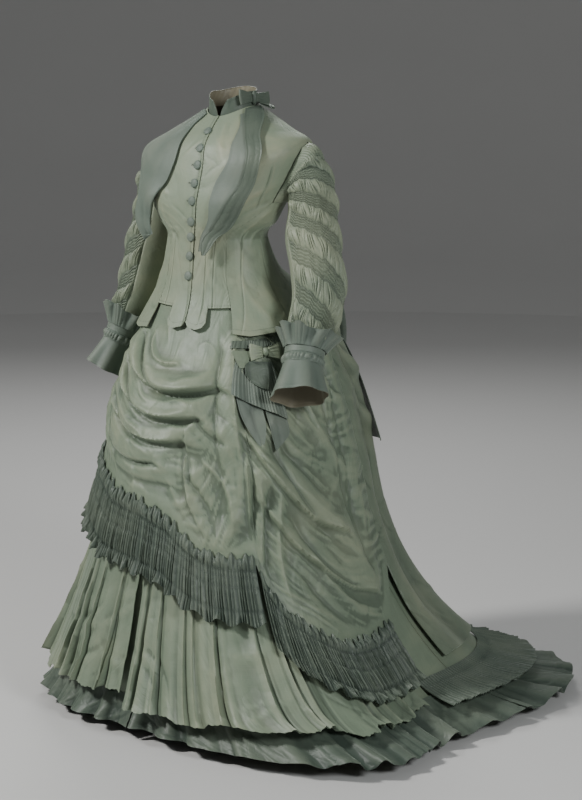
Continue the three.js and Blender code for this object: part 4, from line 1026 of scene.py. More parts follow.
TRAIN_FLOUNCE = {
    "from": 99.6, "to": 245.4, "pleats": 28, "top": 8.68, "bottom": 9.5, "stand": 3.7, "clear": 12
}
t = TRAIN_FLOUNCE
FINE_IN_PLEAT = 6  # narrow pleats riding on each broad one
u, v = np.meshgrid(spread(0, 1, t["pleats"] * FINE_IN_PLEAT * PLEAT_STEPS), spread(0, 1, 14))
angle = mix(t["from"], t["to"], u)
row = mix(t["top"], t["bottom"], v)
broad = 3.5 * v * (1 - np.abs(2 * ((u * t["pleats"]) % 1) - 1)) * 1.4
gather = np.exp(-(((v - HEADING) / 0.06) ** 2))
fine = mix(2.2, 4.4, v) * fine_pleats(u * t["pleats"] * FINE_IN_PLEAT + 0.2 * wave(u * 17))
off = mix(t["stand"], 30, v) + broad + fine * (1 - 0.5 * gather) - 0.8 * gather
off = off + 2.2 * smooth(0.8, 1, v) * wave(u * 61 + 0.3 * wave(u * 23))
piece = floor_cloth("train_flounce_cloth", angle, row, off, t["clear"])
sew(piece, DARK, "train_flounce", (2290, 105), "gathered", ["skirt_train_back"])

# ---------------------------------------------------------------- bodice

CLOSING = 7.5  # angle where the wearer's right front laps over the left
UNDERARM = 5.05  # level of the bottom of the armhole
HALF_GAP = 0.13  # half the seam gap, in degrees
FRONT_EDGE = table(
    "at left right",
    [(3, 90, 90), (3.15, 81, 81), (3.5, 76, 76), (4, 74, 74), (4.5, 74.5, 74.5), (UNDERARM, 76, 76),
     (5.5, 67, 64), (6, 58, 53), (6.5, 50, 43), (7, 45, 35), (8, 41.4, 28)],
)
BACK_EDGE = table(
    "at row",
    [(3, 90), (3.15, 99), (3.5, 104), (4, 106), (4.5, 105.5), (UNDERARM, 104), (5.5, 106), (6, 109),
     (6.5, 112), (7, 115), (8, 117)],
)
FRONT_BASQUE = table(
    "at row", [(0, 9.28), (0.07, 9.42), (0.24, 9.5), (0.38, 9.43), (0.45, 9.28), (0.47, 8.84), (1, 8.82)]
)
SIDE_BASQUE = table("at row", [(0, 9.56), (0.15, 9.62), (0.5, 9.5), (0.8, 9.3), (1, 9.1)])
BACK_BASQUE = table("at row", [(0, 9.05), (0.25, 8.9), (0.5, 9.0), (0.75, 8.9), (1, 9.05)])
LAST_LEVEL = 8.3  # below it the levels run on to the basque's edge
BODICE_DEGREE, LEVEL_LENGTH = 2.7, 42.0  # millimetres in a degree and in a level

# Seams, darts and pulls of the bodice: from one angle and level to another.
FRONT_LINES = table(FOLD_COLUMNS, [
    (56.5, 3.6, 61, 5.2, 0, 1.6, -1.6),
    (59.0, 3.7, 63, 5.1, 0, 2.4, 1.0),
    (34.5, 6.2, 26, 9.2, 0.05, 1.2, -1.5),
    (36.3, 6.2, 27.8, 9.1, 0.05, 1.6, 0.35),
    (24, 6.3, 18, 9.1, 0.0, 1.2, -1.4),
    (25.6, 6.3, 19.6, 9.0, 0.0, 1.6, 0.35),
    (14, 6.6, 40, 7.0, 0.2, 6, 1.4),
    (16, 7.1, 38, 6.8, 0.2, 5, -1.3),
    (44, 3.4, 20, 4.6, 0.3, 9, 1.9),
    (66, 4.4, 38, 5.6, 0.25, 8, 2.0),
    (70, 5.0, 44, 6.2, 0.2, 7, -1.8),
    (30, 5.4, 26, 7.2, 0.1, 7, 1.5),
    (60, 1.2, 50, 3.2, 0.1, 9, 1.4),
    (26, 0.8, 22, 3.0, 0.1, 8, 1.2),
    (22, 7.6, 38, 8.4, 0.2, 6, 1.4),
])
SIDE_LINES = table(FOLD_COLUMNS, [
    (65, 6.6, 47, 9.6, 0.0, 1.3, -1.5),
    (67.4, 6.6, 49.2, 9.5, 0.0, 1.7, 0.35),
    (92, 5.2, 90, 9.4, 0.0, 1.3, -1.4),
    (80, 5.4, 62, 6.8, 0.2, 8, 1.8),
    (98, 6.2, 74, 7.1, 0.2, 6, 1.4),
    (60, 7.2, 84, 7.5, 0.2, 6, -1.2),
    (56, 8.0, 74, 9.2, 0.2, 8, 1.5),
])


def mirrored(folds):
    return {**folds, "a0": -folds["a0"], "a1": -folds["a1"]}


def bodice_relief(lines, angle, level):
    """Seams and pulls, measured in the bodice's own degrees and levels."""
    degree, length = BODICE_DEGREE / SKIRT_DEGREE, LEVEL_LENGTH / SKIRT_ROW_LENGTH
    factors = {"a0": degree, "a1": degree, "r0": length, "r1": length, "sag": length}
    scaled = {name: values * factors.get(name, 1) for name, values in lines.items()}
    return fold_lift(scaled, angle * degree, level * length)


BASQUE_SEWING = []  # lines of stitches along the basque's edge


def no_lap(run, level):
    return 0


def bodice_panel(name, first, edges, shares, basque, lines, cut, seed, rows=(96, 24), lap=no_lap):
    """A panel between two edges, from its first level to the basque's own edge, with what it was cut to."""
    upper, lower = spread(first, LAST_LEVEL, rows[0]), spread(0, 1, rows[1])[1:]
    level = np.concatenate(
        [np.repeat(upper[:, None], len(shares), 1)]
        + [mix(LAST_LEVEL, lookup(basque, shares), v)[None] for v in lower]
    )
    low, high = edges
    angle = mix(low(level), high(level), shares[None])
    points = off_bodice(angle, level, 0)
    run = lengths(points, 1)
    edge = np.minimum(run, run[:, -1:] - run)
    calm = smooth(1, 9, edge)
    pucker = 0.35 * np.exp(-((edge / 6) ** 2)) * wave(lengths(points, 0) / 9)
    crushed = crinkles(points, 46, 44, 8, 0.9, seed) + crinkles(points, 90, 16, 2.4, 0.5, seed + 1)
    off = calm * (bodice_relief(lines, angle, level) + crushed) + pucker
    off = off * smooth(-0.2, 0.6, level) + lap(run, level)
    BASQUE_SEWING.append(off_bodice(angle, level, off + 0.1)[-4])
    return laid_cloth(name + "_cloth", off_bodice, angle, level, off), cut


def shares_between(*stops):
    """Shares of a panel's width: pairs of a stop and the number of columns up to it."""
    out = [np.array([0.0])]
    for stop, count in stops:
        out.append(spread(out[-1][-1], stop, count)[1:])
    return np.concatenate(out)


def front_lap(run, level):
    """The right front stands over the left at its edge, stitched back from it."""
    from_edge = run[:, -1:] - run
    return 2.2 * (1 - smooth(1.0, 9, from_edge)) - 0.5 * np.exp(-(((from_edge - 9) / 1.2) ** 2))


FRONT_CUT = {"left": ((260, 600), 0.085), "right": ((310, 630), 0.097)}
SIDE_CUT = {"left": ((275, 345), 0.055), "right": ((305, 360), 0.062)}
for name, side in (("left", 1), ("right", -1)):
    order = (lambda s: s) if side > 0 else (lambda s: s[::-1])
    closing = CLOSING + side * HALF_GAP
    shares = order(shares_between((0.07, 16), (0.45, 72), (0.47, 8), (1, 96)))
    lines = FRONT_LINES if side > 0 else mirrored(FRONT_LINES)
    edges = (
        lambda level: np.full(level.shape, closing),
        lambda level, side=side, name=name: side * (lookup(FRONT_EDGE, level, name) - HALF_GAP),
    )
    piece, cut = bodice_panel(
        f"bodice_front_{name}", 0, edges, shares, FRONT_BASQUE, lines, FRONT_CUT[name], 51 + side,
        lap=no_lap if side > 0 else front_lap,
    )
    sew(piece, BODICE, f"bodice_front_{name}", cut[0], "stretched", ["skirt_front_gore", "waistband"], cut[1])
    edges = (
        lambda level, side=side, name=name: side * (lookup(FRONT_EDGE, level, name) + HALF_GAP),
        lambda level, side=side: side * (lookup(BACK_EDGE, level) - HALF_GAP),
    )
    lines = SIDE_LINES if side > 0 else mirrored(SIDE_LINES)
    shares = order(shares_between((1, 120)))
    piece, cut = bodice_panel(
        f"bodice_side_{name}", UNDERARM, edges, shares, SIDE_BASQUE, lines, SIDE_CUT[name], 61 + side,
        rows=(60, 28),
    )
    sew(piece, BODICE, f"bodice_side_{name}", cut[0], "stretched", ["waistband"], cut[1])

BACK_LINES = table(FOLD_COLUMNS, [
    (180, 0.2, 180, 9.0, 0.0, 1.4, -1.5),
    (150, 3.4, 166, 9.0, -0.3, 1.4, -1.5),
    (210, 3.4, 194, 9.0, -0.3, 1.4, -1.5),
    (140, 3.0, 165, 4.4, 0.3, 9, 1.6),
    (220, 3.0, 195, 4.4, 0.3, 9, 1.6),
    (150, 6.8, 210, 6.9, 0.3, 6, 1.3),
])
edges = (
    lambda level: lookup(BACK_EDGE, level) + HALF_GAP,
    lambda level: 360 - lookup(BACK_EDGE, level) - HALF_GAP,
)
piece, cut = bodice_panel(
    "bodice_back", 0, edges, shares_between((1, 128)), BACK_BASQUE, BACK_LINES, ((470, 600), 0.21), 71
)
sew(piece, BODICE, "bodice_back", cut[0], "stretched", ["waistband"], cut[1])

# ---------------------------------------------------------------- buttons

BUTTON = {"angle": 3.6, "radius": 10.2, "height": 5.6}
BUTTONS = [(1.24, 0.2), (2.12, 0.1), (2.92, 0.4), (3.88, 0.4), (4.92, 0.35), (6.04, 0.6), (6.95, 1.1),
           (7.52, 1.0), (7.98, 1.5)]  # level and stand of each
BUTTON_PROFILE = np.array(
    [(0, 0), (0.5, 0.0), (0.86, 0), (0.97, 0.12), (1, 0.33), (0.96, 0.5), (0.86, 0.66), (0.7, 0.8),
     (0.66, 0.79), (0.5, 0.9), (0.26, 0.98), (0, 1)]
)
BUTTON_SIDES = 32


def capped(rows, columns, downward=False):
    """Faces of rings closed by two end points; the rings run upward, or downward."""
    ids = np.arange(rows * columns).reshape(rows, columns)
    ring = np.hstack([ids, ids[:, :1]])
    sides = np.stack([ring[:-1, :-1], ring[:-1, 1:], ring[1:, 1:], ring[1:, :-1]], -1).reshape(-1, 4)
    first = np.stack([ring[0, 1:], ring[0, :-1], np.full(columns, ids.size)], 1)
    last = np.stack([ring[-1, :-1], ring[-1, 1:], np.full(columns, ids.size + 1)], 1)
    faces = [sides, first, last]
    return [np.roll(f[:, ::-1], 1, 1) for f in faces] if downward else faces


def covered_button(name, level, stand):
    """A button form covered in cloth, gathered under its rim."""
    turn = spread(0, 2 * np.pi, BUTTON_SIDES)[:-1]
    r, h = BUTTON_PROFILE[1:-1, 0, None], BUTTON_PROFILE[1:-1, 1, None]
    pleat = 1 - 0.035 * (h < 0.5) * (0.5 + 0.5 * np.cos(turn * 8))
    reach = r * pleat * BUTTON["radius"]
    ring = stacked(reach * np.cos(turn), reach * np.sin(turn), h * BUTTON["height"])
    ends = np.array([(0, 0, 0), (0, 0, BUTTON["height"])], float)
    points = np.concatenate([ring.reshape(-1, 3), ends])
    normal = off_bodice(BUTTON["angle"], level, 1) - off_bodice(BUTTON["angle"], level, 0)
    turned = np.array(Vector((0, 0, 1)).rotation_difference(Vector(normal)).to_matrix())
    placed = points @ turned.T + off_bodice(BUTTON["angle"], level, stand)
    return mesh_object(name, placed, capped(*ring.shape[:2]), points[:, :2])


for i, (level, stand) in enumerate(BUTTONS, 1):
    finish(covered_button(f"button_{i}_covered", level, stand), SCARF, f"button_{i}")

# ---------------------------------------------------------------- collar and scarf ends

LAID = "level from off_from level_to to off_to"


def laid_strip(
    name, place, rows, material, cut, held, rests_on, counts, lift=None, seed=None, hem=0.5, area=None
):
    """Cloth laid on a form between two edges, with a turned hem and creases."""
    rows = table(LAID, rows)
    at, u = np.meshgrid(spread(0, len(rows["level"]) - 1, counts[0]), spread(0, 1, counts[1]), indexing="ij")
    value = {key: column(values, at) for key, values in rows.items()}
    across = mix(value["from"], value["to"], u)
    down = mix(value["level"], value["level_to"], u)
    off = mix(value["off_from"], value["off_to"], u)
    points = place(across, down, off)
    if lift is not None:
        off = off + lift(u, at)
    edge = np.minimum(u, 1 - u)
    off = off + hem * (1 - smooth(0.05, 0.08, edge))
    if seed is not None:
        off = off + crinkles(points, 14, 34, 5, 0.35, seed) * smooth(0, 0.2, edge)
    piece = laid_cloth(name + "_cloth", place, across, down, off, step=1)
    return sew(piece, material, name, cut, held, rests_on, area)


COLLAR = {"height": 32, "inside": 0.958, "below": 3, "opening": 4, "top": 22}
v, u = np.meshgrid(spread(1, 0, 20), spread(0, 1, 120), indexing="ij")
cut_back = mix(COLLAR["opening"], COLLAR["top"], v * v)
angle = mix(CLOSING - 3 + cut_back, CLOSING - 3 + 360 - cut_back, u)
base = on_bodice(angle, 0)
middle = stacked(TORSO["mid_x"][0], TORSO["mid_y"][0], base[..., 2])
roll = 0.012 * np.exp(-(((v - 0.93) / 0.07) ** 2)) + 0.006 * wave(u * 23 + v) * v
points = mix(middle, base, (COLLAR["inside"] - 0.03 * v + roll)[..., None])
points[..., 2] += mix(-COLLAR["below"], COLLAR["height"], v)
sew(shell("collar_cloth", points, CLOTH), DARK, "collar", (330, 38), "stretched", ["bodice_back"])

SCARF_SETTINGS = {"held": "hung", "rests_on": ["collar"]}
laid_strip(
    "scarf_end_right", off_bodice,
    [(0.15, -56, 4, 0.15, -32, 3), (0.9, -58, 4, 0.9, -27, 4), (1.8, -59, 5, 1.8, -20, 5),
     (2.8, -58, 11, 2.8, -15, 6), (3.7, -60, 20, 3.8, -19, 6), (4.6, -59, 34, 4.7, -29, 9),
     (5.4, -58, 47, 5.5, -40, 16), (6.1, -59.5, 53, 6.2, -47, 29), (6.7, -60, 56, 6.8, -49, 37),
     (7.0, -59, 55, 7.12, -50, 41)],
    material=SCARF, cut=(158, 440), area=0.038, counts=(96, 28),
    lift=lambda u, at: 1.4 * wave(u * 1.4 + 0.1) * smooth(0, 2, at), seed=81, **SCARF_SETTINGS,
)
laid_strip(
    "scarf_end_left_under", off_bodice,
    [(0.5, 50, 3, 0.5, 68, 3), (1.3, 42, 3, 1.3, 58, 3), (2.2, 31, 3, 2.2, 48, 3), (3.0, 25, 3, 3.0, 44, 3),
     (3.9, 20, 3.5, 3.9, 43, 3), (4.9, 20, 4, 4.9, 41, 3), (5.8, 21.5, 8, 5.8, 35, 6),
     (6.7, 19.5, 15, 6.7, 27, 14), (7.4, 17.5, 20, 7.4, 20, 20)],
    material=SCARF, cut=(80, 385), area=0.018, counts=(96, 24), seed=82, **SCARF_SETTINGS,
)
laid_strip(
    "scarf_end_left_over", off_bodice,
    [(0.3, 62, 7, 0.3, 98, 7), (0.9, 51, 7, 0.9, 82, 7), (1.9, 44, 7, 1.9, 58, 7), (3.1, 37.5, 7, 3.1, 47, 7),
     (4.2, 37.5, 7, 4.2, 48, 6.5), (5.1, 34, 8, 5.1, 47.5, 7), (5.9, 28.5, 12, 5.9, 45, 9),
     (6.6, 25, 18, 6.6, 40, 14), (7.2, 21, 24, 7.2, 32, 21), (7.5, 22, 26, 7.5, 25, 25)],
    material=DARK, cut=(52, 430), area=0.0162, counts=(100, 24),
    lift=lambda u, at: 0.9 * np.abs(wave(u * 0.9)) * smooth(1, 3, at), seed=83, hem=1.3, **SCARF_SETTINGS,
)

# ---------------------------------------------------------------- sleeves and cuffs

ARM_COLUMNS = "out y up wide deep tilt lean"
ARM_LEFT = table(ARM_COLUMNS, [
    (208, 55, 1184, 54, 50, 53, 0),
    (219, 53, 1158, 53, 52, 26, 0),
    (226, 50, 1122, 52, 53, 8, 3),
    (234, 38, 1066, 58, 57, 16, 12),
    (262, 18, 1000, 57, 56, 18, 16),
    (281, -2, 935, 56, 55, 4, 18),
    (284, -31, 880, 50, 50, 3, 22),
    (288, -54, 838, 42, 42, 7, 24),
    (294, -73, 802, 42, 42, 12, 26),
    (311, -105, 744, 61, 56, 18, 26),
])
ARM_RIGHT = table(ARM_COLUMNS, [
    (206, 55, 1184, 52, 50, 53, 0),
    (211, 52, 1158, 52, 52, 26, 0),
    (208, 44, 1120, 51, 52, 4, 6),
    (214, 36, 1066, 53, 54, 6, 10),
    (226, 23, 1000, 50, 54, 6, 14),
    (234, 6, 935, 46, 50, 8, 18),
    (246, -12, 880, 41, 44, 13, 20),
    (256, -26, 838, 36, 38, 14, 20),
    (265, -37, 802, 34, 40, 18, 18),
    (285, -57, 744, 44, 54, 22, 18),
])


def on_arm(rows, side, row, angle, swell):
    """The point on an arm at a row and an angle (0 is the wearer's left, 90 the back), swelled outward."""
    row, angle, swell = np.broadcast_arrays(row, angle, swell)
    at = {name: column(values, row) for name, values in rows.items()}
    tilt, lean = at["tilt"] * DEG, at["lean"] * DEG
    down = unit(stacked(side * np.sin(tilt), -np.sin(lean), -np.cos(tilt) * np.cos(lean)))
    across = unit(stacked(1, 0, 0) - down * down[..., :1])
    back = np.cross(across, down)
    wide = ((at["wide"] + swell) * np.cos(angle * DEG))[..., None]
    deep = ((at["deep"] + swell) * np.sin(angle * DEG))[..., None]
    return stacked(side * at["out"], at["y"], at["up"] - WAIST_HEIGHT) + across * wide + back * deep


def armhole(side, turn, stand):
    """The armhole's edge, from the shoulder (0) round by the back, under the arm (0.5) and up the front."""
    t = turn % 1
    down = 1 - np.abs(1 - 2 * t)
    level = mix(3, UNDERARM, np.minimum(1, down / 0.86))
    edge = np.where(t < 0.5, lookup(BACK_EDGE, level), lookup(FRONT_EDGE, level, "left"))
    return off_bodice(side * mix(edge, 90, smooth(0.84, 1, down)), level, stand + CLOTH)


SMOCKED_TO = 116  # degrees either side of the arm's outside


def turned_out(angle, side):
    """Degrees round the arm from its outside, the back of it counting up."""
    return ((np.where(side > 0, angle, 180 - angle) + 540) % 360) - 180


def band_start(turn):
    """The row at which the smocking's first band starts, a little uneven round the arm."""
    uneven = 0.03 * wave(turn / 41) + 0.02 * wave(turn / 17 + 0.3)
    return SMOCK["start"] + SMOCK["slant"] * turn / 180 - uneven


def slanted(row, turn):
    """How many bands down the smocking a place lies."""
    return (row - band_start(turn)) / SMOCK["pitch"]


def smocked_part(row, turn):
    """1 where the sleeve is smocked, 0 on its plain strip and at its ends."""
    round_arm = 1 - smooth(SMOCKED_TO - 5, SMOCKED_TO, np.abs(turn))
    return round_arm * smooth(-0.7, 0.0, row) * (1 - smooth(6.5, 6.9, row))


def smocking(row, angle, side):
    """Slanting bands of close gathers, with puffs between them and a plain strip inside the arm."""
    turn = turned_out(angle, side)
    bands = slanted(row, turn)
    phase = bands % 1
    band = SMOCK["band"]
    puff = np.sin(np.pi * np.clip((phase - band) / (1 - band), 0, 1)) ** 0.6
    jitter = 0.45 * wave(turn / 43 + bands * 0.6) + 0.3 * wave(turn / 19.3 - 0.7 * bands)
    gather = np.abs(np.sin(np.pi * (turn / 360 * SMOCK["gathers"] + jitter - 0.7 * bands)))
    strength = 0.7 + 0.3 * wave(turn / 27 + 0.9 * bands)
    lift = puff * (SMOCK["puff"] - 4.6 * (1 - gather) ** 1.5 * strength) + (1 - puff) * 0.3 * gather
    seam = -1.6 * np.exp(-(((np.abs(turn) - SMOCKED_TO - 2) / 2) ** 2))
    return smocked_part(row, turn) * lift + seam * smooth(0.2, 0.6, row)


SLEEVE_END = 7.25
SLEEVE_STEP = 4  # points of the outer face to one of the inner
BANDS = range(-3, 7)  # bands of smocking; the slant brings some in from past the sleeve's head
SMOCKING_THREADS = {}  # rows of drawn thread, as points on each sleeve


def sleeve_points(rows, side, stand, row, angle, lift):
    turn = np.where(side > 0, angle / 360, (180 - angle) / 360)
    arm = on_arm(rows, side, np.maximum(row, 0), angle, -3.2 * smooth(6.7, 7.2, row) + lift)
    head = armhole(side, turn, stand)
    share = np.clip(row + 1, 0, 1)
    bulge = 12 * np.sin(np.pi * share) * (0.5 + 0.5 * np.cos(2 * np.pi * turn)) * (row < 0)
    joined = mix(head, arm, share[..., None])
    return joined + stacked(side * bulge * 0.75, 0 * bulge, bulge * 0.65)


def head_gathers(row, angle, side):
    """Small pleats that ease the sleeve into the armhole."""
    near = smooth(-1.0, -0.8, row) * (1 - smooth(-0.3, 0.3, row))
    return 0.7 * near * np.abs(wave(angle / 360 * 30 + 0.1 * side))


CUFF_BAND, CUFF_FLARE, CUFF_RUFFLE = (7.1, 7.98), (7.988, 9), (6.2, 7.094)
SLEEVE_CUT = {
    "left": ((400, 520), "gathered", ["bodice_front_left"], 0.165),
    "right": ((380, 480), "gathered", ["bodice_front_right"], 0.145),
}
CUFF_CUTS = {  # band, flare and ruffle
    "left": ((285, 40), (384, 70), (490, 44)),
    "right": ((258, 37), (328, 66), (450, 41)),
}


def drawn_threads(rows, side, stand):
    """The smocking's threads, as points along each row of each band."""
    drawn = []
    reach = SMOCKED_TO - 4
    for band, line in ((band, line) for band in BANDS for line in range(SMOCK["rows"])):
        out = spread(-reach, reach, 120)
        at = SMOCK["pitch"] * (band + SMOCK["band"] * (line + 0.5) / SMOCK["rows"]) + band_start(out)
        kept = (at > 0.3) & (at < 6.6)
        if kept.sum() > 3:
            out, at = out[kept], at[kept]
            turned = out if side > 0 else 180 - out
            drawn.append(sleeve_points(rows, side, stand, at, turned, smocking(at, turned, side) + 0.5))
    return drawn


def cuffs(rows, side, name):
    """The maker of one arm's cuff pieces."""

    def cuff(piece_name, between, counts, swell, cut, held, rests_on, uneven=0.0):
        v, turn = np.meshgrid(spread(0, 1, counts[0]), spread(0, 1, counts[1])[:-1], indexing="ij")
        ragged = wave(turn * 5 + 0.2 * wave(turn * 2)) + 0.5 * wave(turn * 11)
        points = on_arm(rows, side, mix(*between, v) + uneven * (1 - v) * ragged, turn * 360, swell(v, turn))
        piece = shell(f"{piece_name}_{name}_cloth", points, CLOTH, closed=True)
        return sew(piece, SCARF, f"{piece_name}_{name}", cut, held, rests_on)

    return cuff


for side, rows, stand, name in ((1, ARM_LEFT, 0.9, "left"), (-1, ARM_RIGHT, 1.4, "right")):
    seam = SMOCKED_TO + 6
    around = np.concatenate([spread(-seam, seam, 272)[:-1], spread(seam, 360 - seam, 32)[:-1]])
    around = around if side > 0 else (180 - around)[::-1]
    share, angle = np.meshgrid(spread(0, 1, 264) ** 1.02, around, indexing="ij")
    row = mix(-1, SLEEVE_END, share)
    ease = crinkles(sleeve_points(rows, side, stand, row, angle, 0), 70, 22, 3, 0.8, 91 + side)
    ease = ease * smooth(-0.6, 0.4, row) * (1 - smooth(6.8, 7.1, row)) * 0.9
    gathers = head_gathers(row, angle, side)
    lift = smocking(row, angle, side) + np.where(row < 0.3, gathers, 0) + np.maximum(ease, -0.5)
    outer = sleeve_points(rows, side, stand, row, angle, lift)
    outer = outer + np.where((row < 0)[..., None], grid_normals(outer, True) * gathers[..., None], 0)
    under = (slice(None, None, SLEEVE_STEP),) * 2
    plain = sleeve_points(rows, side, stand, row[under], angle[under], -0.7)
    inner = plain - grid_normals(plain, True) * CLOTH
    piece = wall(f"sleeve_{name}_cloth", outer, inner, closed=True)
    turn = turned_out(angle, side)
    places = np.stack([turn / 360, slanted(row, turn), smocked_part(row, turn)], -1)
    places = np.concatenate([places.reshape(-1, 3), np.zeros((inner.size // 3, 3))])
    layer = piece.data.attributes.new("Smock", "FLOAT_VECTOR", "POINT")
    layer.data.foreach_set("vector", places.astype(np.float32).ravel())
    sew(piece, SMOCKED, f"sleeve_{name}", *SLEEVE_CUT[name])
    SMOCKING_THREADS[name] = drawn_threads(rows, side, stand)
    cuff = cuffs(rows, side, name)
    cuff(
        "cuff_band", CUFF_BAND, (36, 200),
        lambda v, t: 1 + (2.2 + 3.4 * np.abs(wave(t * 13 + 0.2 * wave(t * 5) + 0.25 * v)))
        * np.sin(np.pi * np.clip((v - 0.5) / 0.46, 0, 1)) ** 0.7
        + 0.8 * (1 - smooth(0.4, 0.5, v)) + 0.5 * np.exp(-(((v - 0.4) / 0.03) ** 2)),
        CUFF_CUTS[name][0], "gathered", [f"sleeve_{name}"],
    )
    cuff(
        "cuff_flare", CUFF_FLARE, (32, 168),
        lambda v, t: 0.6 + (1 + 3 * v) * wave(t * 6) + 0.5 * np.exp(-(((v - 0.88) / 0.02) ** 2)),
        CUFF_CUTS[name][1], "stretched", [f"cuff_band_{name}"],
    )
    cuff(
        "cuff_ruffle", CUFF_RUFFLE, (30, 260),
        lambda v, t: mix(17, 3.5, v**0.8) + mix(7.5, 0.8, v) * wave(t * 9 + 0.14 * wave(t * 3) + 0.05 * v)
        + mix(2.8, 1.0, v) * np.abs(wave(t * 14 + 0.25 * wave(t * 5))),
        CUFF_CUTS[name][2], "gathered", [f"cuff_band_{name}"], uneven=0.09,
    )

# ---------------------------------------------------------------- bows and the hip pocket

LOOP_SECTION = np.array(
    [(0, -0.5), (0.3, -0.8), (0.7, -1), (0.94, -0.7), (1, 0), (0.94, 0.7), (0.7, 1), (0.3, 0.8), (0, 0.5)],
    float,
)
LOOP_STEPS = 6  # columns to each side of the section
RIBBON = {"thick": 1.2, "pinched": 0.62, "flare": 1.15}  # thickness, and shares of the width at each end


def ribbon_loop(node, root, along, out, length, width, fullness, cut, rests_on, material=DARK):
    """A band of ribbon bent round on itself and gathered at its root."""
    along, out = unit(np.array(along, float)), unit(np.array(out, float))
    across = unit(np.cross(out, along))
    n = len(LOOP_SECTION)
    at = spread(0, n, n * LOOP_STEPS)[:-1]
    i = np.floor(at).astype(int)
    ring = through(*(LOOP_SECTION[(i + k) % n] for k in (-1, 0, 1, 2)), (at - i)[:, None])
    w, l = np.meshgrid(spread(-0.5, 0.5, 26), ring[:, 0], indexing="ij")
    o = np.broadcast_to(ring[:, 1], l.shape)
    gathered = 0.16 * (1 - l) * wave(w * 4 + 0.1)
    bowed = 0.05 * length * np.cos(w * np.pi)
    points = (
        root
        + along * (l * (length - 0.05 * length + bowed))[..., None]
        + out * ((o + gathered * np.sign(o)) * fullness)[..., None]
        + across * (w * width * mix(RIBBON["pinched"], RIBBON["flare"], l))[..., None]
    )
    piece = shell(node + "_cloth", points, RIBBON["thick"], closed=True)
    return sew(piece, material, node, cut, "folded", rests_on)


def knot(node, at, out, size, cut, rests_on, material=DARK):
    """A ribbon tied round itself, pleated across its face."""
    turn, rise = np.meshgrid(spread(0, 360, 48)[:-1] * DEG, spread(0, np.pi, 26)[1:-1])
    pleat = 1 - 0.09 * np.abs(np.sin(turn * 5)) * np.sin(rise) ** 2
    body = stacked(np.sin(rise) * np.cos(turn) * pleat, np.sin(rise) * np.sin(turn) * pleat, np.cos(rise))
    points = np.concatenate([body.reshape(-1, 3), [(0, 0, 1), (0, 0, -1)]]) * np.array(size, float)[[0, 2, 1]]
    heading = math.atan2(out[1], out[0]) - math.pi / 2
    placed = points @ np.array(Matrix.Rotation(heading, 3, "Z")).T + at
    around = np.concatenate([np.stack([turn * size[0], rise * size[1]], -1).reshape(-1, 2), [(0, 0), (0, 0)]])
    piece = mesh_object(node + "_cloth", placed, capped(*body.shape[:2], downward=True), around)
    return sew(piece, material, node, cut, "folded", rests_on)


NECK_BOW = np.array([64.7, 50, 1358 - WAIST_HEIGHT])
NECK_LOOPS = [
    ("neck_loop_front", (-0.14, -0.98, 0.05), (0.98, -0.14, 0.2), 36, 29, 3.4, (0, -7.6, 0), (30, 78)),
    ("neck_loop_back", (0.2, 0.96, -0.1), (0.96, -0.2, 0.2), 38, 29, 3.6, (0.5, 8.4, 0), (30, 80)),
    ("neck_loop_low", (0.66, 0.68, -0.3), (0.3, 0.1, 0.95), 34, 24, 3, (11.6, 8, -11.6), (26, 70)),
]
for node, along, out, length, width, fullness, shift, cut in NECK_LOOPS:
    ribbon_loop(node, NECK_BOW + shift, along, out, length, width, fullness, cut, ["collar"])
knot("neck_knot", NECK_BOW + (2, 0, 0), (1, 0, 0), (7.5, 15, 6), (22, 28), ["collar"])


def on_apron(angle, row, off):
    return off_skirt(angle, row, apron_off(angle, row) + off)


POCKET_RESTS = ["apron_overskirt"]
laid_strip(
    "pocket_heading", on_apron, [(2.74, 41, 2.2, 2.6, 78, 2.2), (2.94, 40, 3.4, 2.8, 78, 3.4)],
    DARK, (143, 20), "gathered", POCKET_RESTS, (10, 160),
    lift=lambda u, at: 1.1 * np.abs(wave(u * 9 + 0.2 * wave(u * 3))), hem=0,
)
laid_strip(
    "pocket_turnover", on_apron,
    [(2.99, 40.5, 4.4, 2.96, 52, 4.4), (3.18, 43, 6.9, 3.18, 51, 6.9), (3.36, 45.6, 9.9, 3.33, 49.5, 9.9)],
    LIGHT, (46, 40), "folded", POCKET_RESTS, (24, 24), seed=101,
)
laid_strip(
    "pocket_fan", on_apron,
    [(3.16, 43.5, 2.9, 3.2, 66, 2.9), (3.5, 42, 9, 3.65, 67, 10), (3.84, 41.5, 13, 4.26, 69, 14)],
    SCARF, (142, 105), "gathered", POCKET_RESTS, (40, 210),
    lift=lambda u, at: (1 + 1.6 * at) * wave(u * 3) * 0.5
    + (0.5 + 0.35 * at) * fine_pleats(u * 17 + 0.2 * wave(u * 3)), hem=0,
)
laid_strip(
    "pocket_ribbon_end", on_apron,
    [(3.2, 51, 9.9, 3.2, 61, 7.2), (3.3, 48.6, 12, 3.32, 61.8, 9.4), (3.46, 48.6, 13, 3.5, 61.8, 11.2),
     (3.62, 52, 14, 3.66, 61, 13.2), (3.72, 56.5, 15, 3.74, 60, 14.8)],
    DARK, (54, 62), "folded", ["pocket_fan"], (32, 28), seed=102,
)
laid_strip(
    "pocket_tab_front", on_apron,
    [(3.72, 43, 4.7, 3.95, 56, 5.2), (4.2, 46, 5.7, 4.32, 57, 5.7), (4.66, 53, 6.2, 4.62, 55.5, 6.2)],
    SCARF, (58, 105), "hung", POCKET_RESTS, (40, 28), seed=103, hem=0.9,
    lift=lambda u, at: 1.6 * np.abs(wave(u * 0.75 + 0.1)) * smooth(0.1, 1, at),
)
